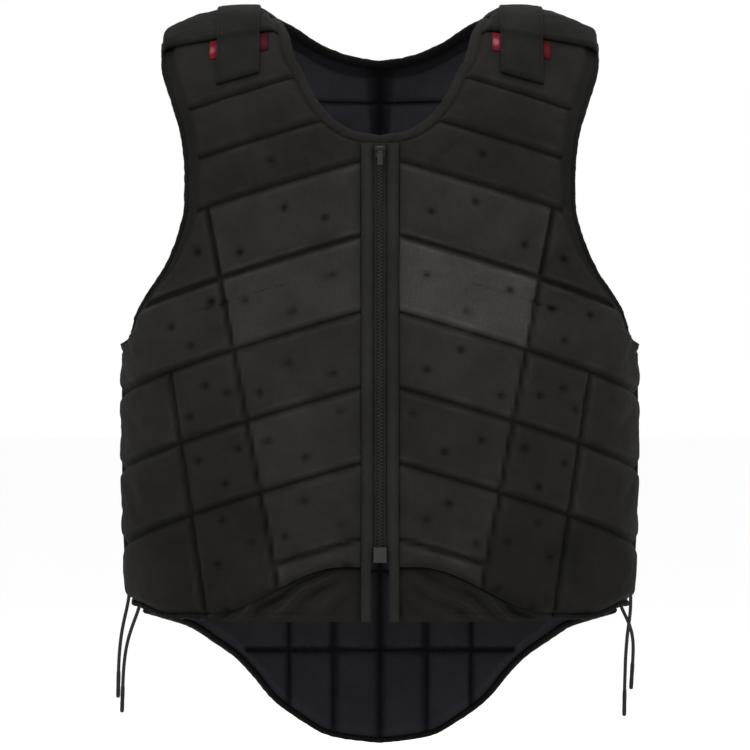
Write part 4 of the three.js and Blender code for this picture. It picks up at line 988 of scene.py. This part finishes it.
# Front opening
def add_opening():
    zip_bottom = -ZIP_TOP - ZIP_LENGTH
    top = NECK_FOOT + 2.2
    seam = 2.6
    for side, word in SIDES:
        heights = np.linspace(HEM, top, 190)
        start = np.where(heights < zip_bottom - 3, SLIT, ZIP_HALF + CLEAR)
        start = np.convolve(np.pad(start, 3, mode="edge"), np.ones(7) / 7, mode="valid")
        u = np.concatenate([[0, .05, .12], np.linspace(.2, .8, 7), [.88, .95, 1]])
        x = mix(start[:, None], PLACKET + .9, u[None])
        z = np.repeat(heights[:, None], len(u), 1)
        wave, ripple = Waves(401 + side, 60), Waves(403 + side, 16)
        flat, normal = spots(1, x, z, np.zeros(x.shape))
        near = edge_distance(flat)
        lift = -EDGE_DEPTH + 2.5 - 1.1 * (1 - smooth(0, 2.2, near)) + .25 * wave(flat) + .12 * ripple(flat)
        outer = lifted(flat, normal, lift - .35 * bell(near - seam, .5))
        inner = lifted(flat, normal, -EDGE_DEPTH - .5 - 4 * smooth(.8, .95, u))
        # Painted shade along the placket's turned-down edges and in its seam dent.
        tone = .85 + .25 * smooth(0, 3, near) - .2 * bell(near - seam, .6)
        strip = shell(f"placket_{word}", outer, inner, [zip_cloth], tone, side=side)
        place(strip, "zip_tape", f"zip_placket_{word}")
        lines = [(outer[4:-2, n] + normal[4:-2, n] * .1, normal[4:-2, n]) for n in (2, -3)]
        stitches(f"placket_stitching_{word}", lines, "zip_tape", side, pitch=3.2, length=2.2, radius=.26)
    tape_height = -EDGE_DEPTH + 1
    x = np.concatenate([np.linspace(-ZIP_HALF, -2.7, 5), [-2.3, 0, 2.3], np.linspace(2.7, ZIP_HALF, 5)])
    x, z = np.meshgrid(x, np.linspace(zip_bottom, top, 200))
    outer, inner, _ = spots(1, x, z, tape_height + .15 * np.cos(x * 3), np.full(z.shape, tape_height - 2))
    place(shell("zip_tape", outer, inner, [zip_cloth], .75 + 0 * z), "zip_tape", "zip_chain")
    place(zip_teeth_mesh(zip_bottom + 3, NECK_FOOT - 4, tape_height), "zip_tape")


def zip_teeth_mesh(low, high, tape_height):
    """A coil zip: short rounded bars from each side that meet in the middle."""
    verts, faces = [], []
    pitch = 1.5
    outline = np.array([(-2.5, .0), (-2.5, .7), (-1.9, 1.15), (.5, 1.2), (.9, .8), (.9, .0)])
    for number, z in enumerate(np.arange(low, high, pitch)):
        x = outline[:, 0] * (-1 if number % 2 else 1)
        for edge, shrink in ((-.62, .75), (-.4, 1), (.4, 1), (.62, .75)):
            verts.append(spots(1, x, np.full(6, z + edge), tape_height + .05 + outline[:, 1] * shrink)[0])
        faces += tube_faces(4, 6, number * 24)
    return add_mesh("zip_coil", np.concatenate(verts), faces, [zip_teeth])


def add_skirts():
    """The unpadded cloth below the pads, down to its hem."""
    count, rows, hem_seam = 90, 34, 7.4
    thick, fold_width, behind_pad = 1.1, 31, 2.0
    for side, word in SIDES:
        panel = fronts[side][0]
        edge = panel.point[0]
        inside = edge[:, 0] < SKIRT_HALF + 4
        seam = resample(np.concatenate([edge[inside], panel.normal[0][inside] * 50], 1), count=count)
        seam_point, seam_normal = seam[:, :3], unit(seam[:, 3:])
        x = np.clip(seam_point[:, 0], PLACKET + CLEAR, None)
        hem_point, hem_normal = spots(1, x, np.full(count, HEM), np.zeros(count))
        up = np.linspace(0, 1, rows)[:, None]
        point = mix(hem_point, seam_point + np.array([0, 0, behind_pad]), up[..., None])
        normal = unit(mix(hem_normal, seam_normal, up[..., None]))
        seen = mirror(point, side)
        small, sway = Waves(503 + side, 12), Waves(505 + side, 55)
        above = point[..., 2] - HEM
        slant = point[..., 0] + 1.7 * above + 6 * sway(seen)
        fold = np.sin(2 * math.pi * slant / fold_width + side) ** 3 * smooth(20, 45, point[..., 0])
        fold = fold * (.75 + .35 * sway(seen + 90)) * np.sin(math.pi * np.clip(1 - up, 0, 1) ** .8) ** .6
        depth = -SKIRT_DEPTH + 2.6 * fold + .4 * small(seen) * (.25 + .75 * (1 - up))
        depth = depth - 1.2 * smooth(.86, 1, up)
        hem_roll = .55 * bell(above - 3, 3.2)
        outer = lifted(point, normal, depth + hem_roll)
        inner = lifted(point, normal, depth - thick - hem_roll)
        tone = .5 - .12 * bell(above - hem_seam, .8)
        # Painted shade in the folds' creases, painted light on their crests, and a painted shadow of the pads
        # over the skirt's top.
        tone = tone * (1 + .5 * fold) * mix(1, .25, smooth(.78, 1, up))
        skirt = shell(f"skirt_{word}", outer, inner, [pad_cloth, pad_cloth], tone, side=side)
        place(skirt, "front_fabric", f"front_skirt_{word}")
        middle = (outer + inner) / 2
        tall = lengths_up(middle)[-1]
        row = int(np.argmin(np.abs(above[:, 0] - hem_seam)))
        line = outer[row, 1:-1] + normal[row, 1:-1] * .15, normal[row, 1:-1]
        stitches(f"hem_stitching_{word}", [line], "front_fabric", side)


add_opening()
add_skirts()


# Shoulders
def strap_spots(x, arc):
    """Points and normals over the shoulder, by the length of curve from its top (behind is positive)."""
    angle = angle_at(x, CHEST)
    level = top_level(x) - np.abs(arc)
    back = (arc > 0)[..., None]
    return [np.where(back, at(-1, angle, level), at(1, angle, level)) for at in (cloth, cloth_normal)]


def front_arc(x, drop):
    return level_at(-drop, x) - top_level(x)


def yoke_drop(x):
    return 5 + .16 * (x - NECK_HALF)


def soft_strip(name, point, normal, lift, thick, material, side, slot, node, seed, roll=1.6, tone=1.0,
               wrinkle=.2):
    """A soft-edged strip of cloth, and the points of its outer side."""
    near = edge_distance(point)
    wave, fine = Waves(seed, 26), Waves(seed + 1, 8)
    seen = mirror(point, side)
    top = lift + thick * (1 - .55 * (1 - smooth(0, roll * 1.6, near)))
    top = top + (wrinkle * wave(seen) + .35 * wrinkle * fine(seen)) * smooth(0, 3, near)
    stitch = bell(near - 3.4, .7)
    outer = lifted(lifted(point, normal, top), normal, -.3 * stitch)
    inner = lifted(point, normal, lift)
    # Painted highlight along the rolled edges and painted shade in the stitched dent.
    shade = tone * (1 + .15 * np.exp(-near / 1.5) - .3 * stitch)
    return place(shell(name, outer, inner, [material], shade, side=side), slot, node), outer


def add_yoke(side, word):
    outer_edge = float(out_at(math.radians(55), CHEST)) + 1
    behind = 34
    share, across = np.linspace(0, 1, 60)[:, None], np.linspace(0, 1, 46)[None]
    x = mix(NECK_HALF, outer_edge, across) + 0 * share
    for _ in range(4):
        arc = mix(front_arc(x, yoke_drop(x)), behind, share)
        height = height_at(angle_at(x, CHEST), top_level(x) - np.abs(arc))
        neck = np.where(arc < 0, neck_out(FRONT_NECK, FRONT_NECK_DROP, height),
                        neck_out(BACK_NECK, BACK_NECK_DROP, height))
        x = mix(neck + 1, outer_edge, across)
    point, normal = strap_spots(x, mix(front_arc(x, yoke_drop(x)), behind, share))
    shade = mix(.35, 1, smooth(0, 2.2, lengths_up(point)))
    sideways = lengths(point)
    wrapped = mix(-3.4, .9, smooth(0, 8, np.minimum(sideways, sideways[:, -1:] - sideways)))
    yoke, top = soft_strip(f"yoke_{word}", point, normal, wrapped, 3.2, yoke_cloth, side, "yoke_fabric",
                           f"shoulder_yoke_{word}", 600 + side, tone=.8 * shade, wrinkle=.45)
    stitches(f"yoke_stitching_{word}", [(top[3, 2:-2], normal[3, 2:-2])], "yoke_fabric", side)


def add_tab(side, word):
    inner_side, outer_side, behind = 103, 139, 22
    x = np.linspace(inner_side, outer_side, 26)[None]
    end = front_arc(x, 42 + CHEVRON_SLOPE * (x - inner_side))
    arc = mix(end, behind + 0 * x, np.linspace(0, 1, 84)[:, None])
    past = arc - front_arc(x, yoke_drop(x))
    lift = 2.4
    for height, first, last in ((2.0, -17, -12.5), (2.2, -12, -5), (4.9, -4.5, -1.0)):
        lift = mix(lift, height, smooth(first, last, past))
    point, normal = strap_spots(x + 0 * arc, arc)
    shade = mix(.2, .8, smooth(.4, 3.0, lengths_up(point)))
    _, top = soft_strip(f"tab_{word}", point, normal, lift, 1.8, yoke_cloth, side, "yoke_fabric",
                        f"shoulder_tab_{word}", 610 + side, roll=.8, tone=shade, wrinkle=.12)
    seams = (np.s_[4:-4, 3], np.s_[4:-4, -4], np.s_[4, 3:-3])
    stitches(f"tab_stitching_{word}", [(top[at], normal[at]) for at in seams], "yoke_fabric", side,
             pitch=3.0, length=2.1, radius=.28)


def add_marker(side, word):
    """The red strip under the tab, with a worn spot near each end."""
    x = np.linspace(96, 146, 40)[None]
    t = np.linspace(0, 1, 12)[:, None]
    arc = front_arc(x, yoke_drop(x) + mix(16, .6, t))
    point, normal = strap_spots(x + 0 * arc, arc)
    inner_spot, outer_spot = (np.exp(-((x - at) / 2.6) ** 2 - ((t - .45) / .3) ** 2) for at in (99.5, 143))
    inner_red, outer_red, inner_pale, outer_pale = (.8, .35, 1.0, .6) if side > 0 else (.12, .8, .5, .8)
    faded = mix(inner_red + inner_pale * inner_spot, outer_red + outer_pale * outer_spot, smooth(112, 130, x))
    soft_strip(f"marker_{word}", point, normal, .3, 1.2, marker_cloth, side, "marker_red",
               f"shoulder_marker_{word}", 620 + side, roll=.5, wrinkle=.05, tone=faded)


for side, word in SIDES:
    add_yoke(side, word)
    add_tab(side, word)
    add_marker(side, word)


# Laced sides
GUSSET_TOP, GUSSET_BOTTOM = SIDE_TOP - 1, float(pad_edge(CHEST_HALF_WIDTH)) + 3
OPENING_BACK = math.pi - BACK_SIDE
LACE_RADIUS = 1.5
LACE_DEPTH = 4 - CLEAR - LACE_RADIUS


def turn_for(level, length):
    return length / run_at(1, np.array(FRONT_SIDE), np.array(level))


def side_grid(levels, angles):
    level, angle = np.meshgrid(levels, angles, indexing="ij")
    return cloth(1, angle, level), cloth_normal(1, angle, level)


def add_gusset(side, word):
    gap = turn_for(GUSSET_TOP, 2 * CLEAR)
    point, normal = side_grid(np.linspace(GUSSET_BOTTOM, GUSSET_TOP, 90),
                              np.linspace(FRONT_SIDE + gap, OPENING_BACK - gap, 24))
    rib_width = 3.1
    ribs = .35 * np.cos(2 * math.pi * lengths(point) / rib_width)
    soft = .4 * Waves(700 + side, 22)(mirror(point, side))
    outer, inner = (lifted(point, normal, depth + ribs + soft) for depth in (-9.4, -10.6))
    gusset = shell(f"gusset_{word}", outer, inner, [elastic_cloth], 1 - .5 * ribs, side=side)
    place(gusset, "binding", f"side_gusset_{word}")
    middle = (outer + inner) / 2
    width, tall = lengths(middle)[:, -1].mean(), lengths_up(middle)[-1].mean()


def add_lacing(side, word):
    """The two tapes beside the gusset and the cord that zigzags between them."""
    tape_lift = -LACE_DEPTH + LACE_RADIUS + 1.5 * CLEAR
    rows = np.linspace(GUSSET_BOTTOM + 4, GUSSET_TOP - 4, 110)
    reach, lip = turn_for(rows.mean(), 10), turn_for(rows.mean(), 1)
    for end, ends in (("front", (FRONT_SIDE - reach, FRONT_SIDE + lip)),
                      ("back", (OPENING_BACK - lip, OPENING_BACK + reach))):
        point, normal = side_grid(rows, np.linspace(*ends, 12))
        sewn = lengths(point)
        if end == "back":
            sewn = sewn[:, -1:] - sewn
        lift = mix(-4.3, tape_lift, smooth(.3, 4.2, sewn))
        soft_strip(f"lace_tape_{end}_{word}_cloth", point, normal, lift, 1.2, tape_cloth, side, "binding",
                   f"lace_tape_{end}_{word}", 710 + side, roll=.5, wrinkle=.12)
    inset = turn_for(GUSSET_TOP, 6)
    turns = np.linspace(GUSSET_TOP - 14, GUSSET_BOTTOM + 16, 9)
    pitch = turns[0] - turns[1]
    route = [(OPENING_BACK + inset if n % 2 else FRONT_SIDE - inset, level + share * pitch)
             for n, level in enumerate(turns) for share in (.12, -.12)]
    route.append((FRONT_SIDE - inset, GUSSET_BOTTOM + 4))
    angle, level = np.array(route).T
    path = cloth(1, angle, level) - cloth_normal(1, angle, level) * LACE_DEPTH
    lace = tube(f"lacing_{word}", mirror(catmull(path, 14), side), (LACE_RADIUS, LACE_RADIUS), [lace_cord])
    place(lace, "lace", f"side_lace_{word}")


for side, word in SIDES:
    add_gusset(side, word)
    add_lacing(side, word)


# Hard pieces keep their shapes and take finished materials.
for name, material in (("zip_box", box_metal), ("zip_slider", dark_metal), ("zip_pull", dark_metal)):
    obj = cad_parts[name]
    if not obj.material_slots:
        obj.data.materials.append(material)
    for slot in obj.material_slots:
        slot.material = material
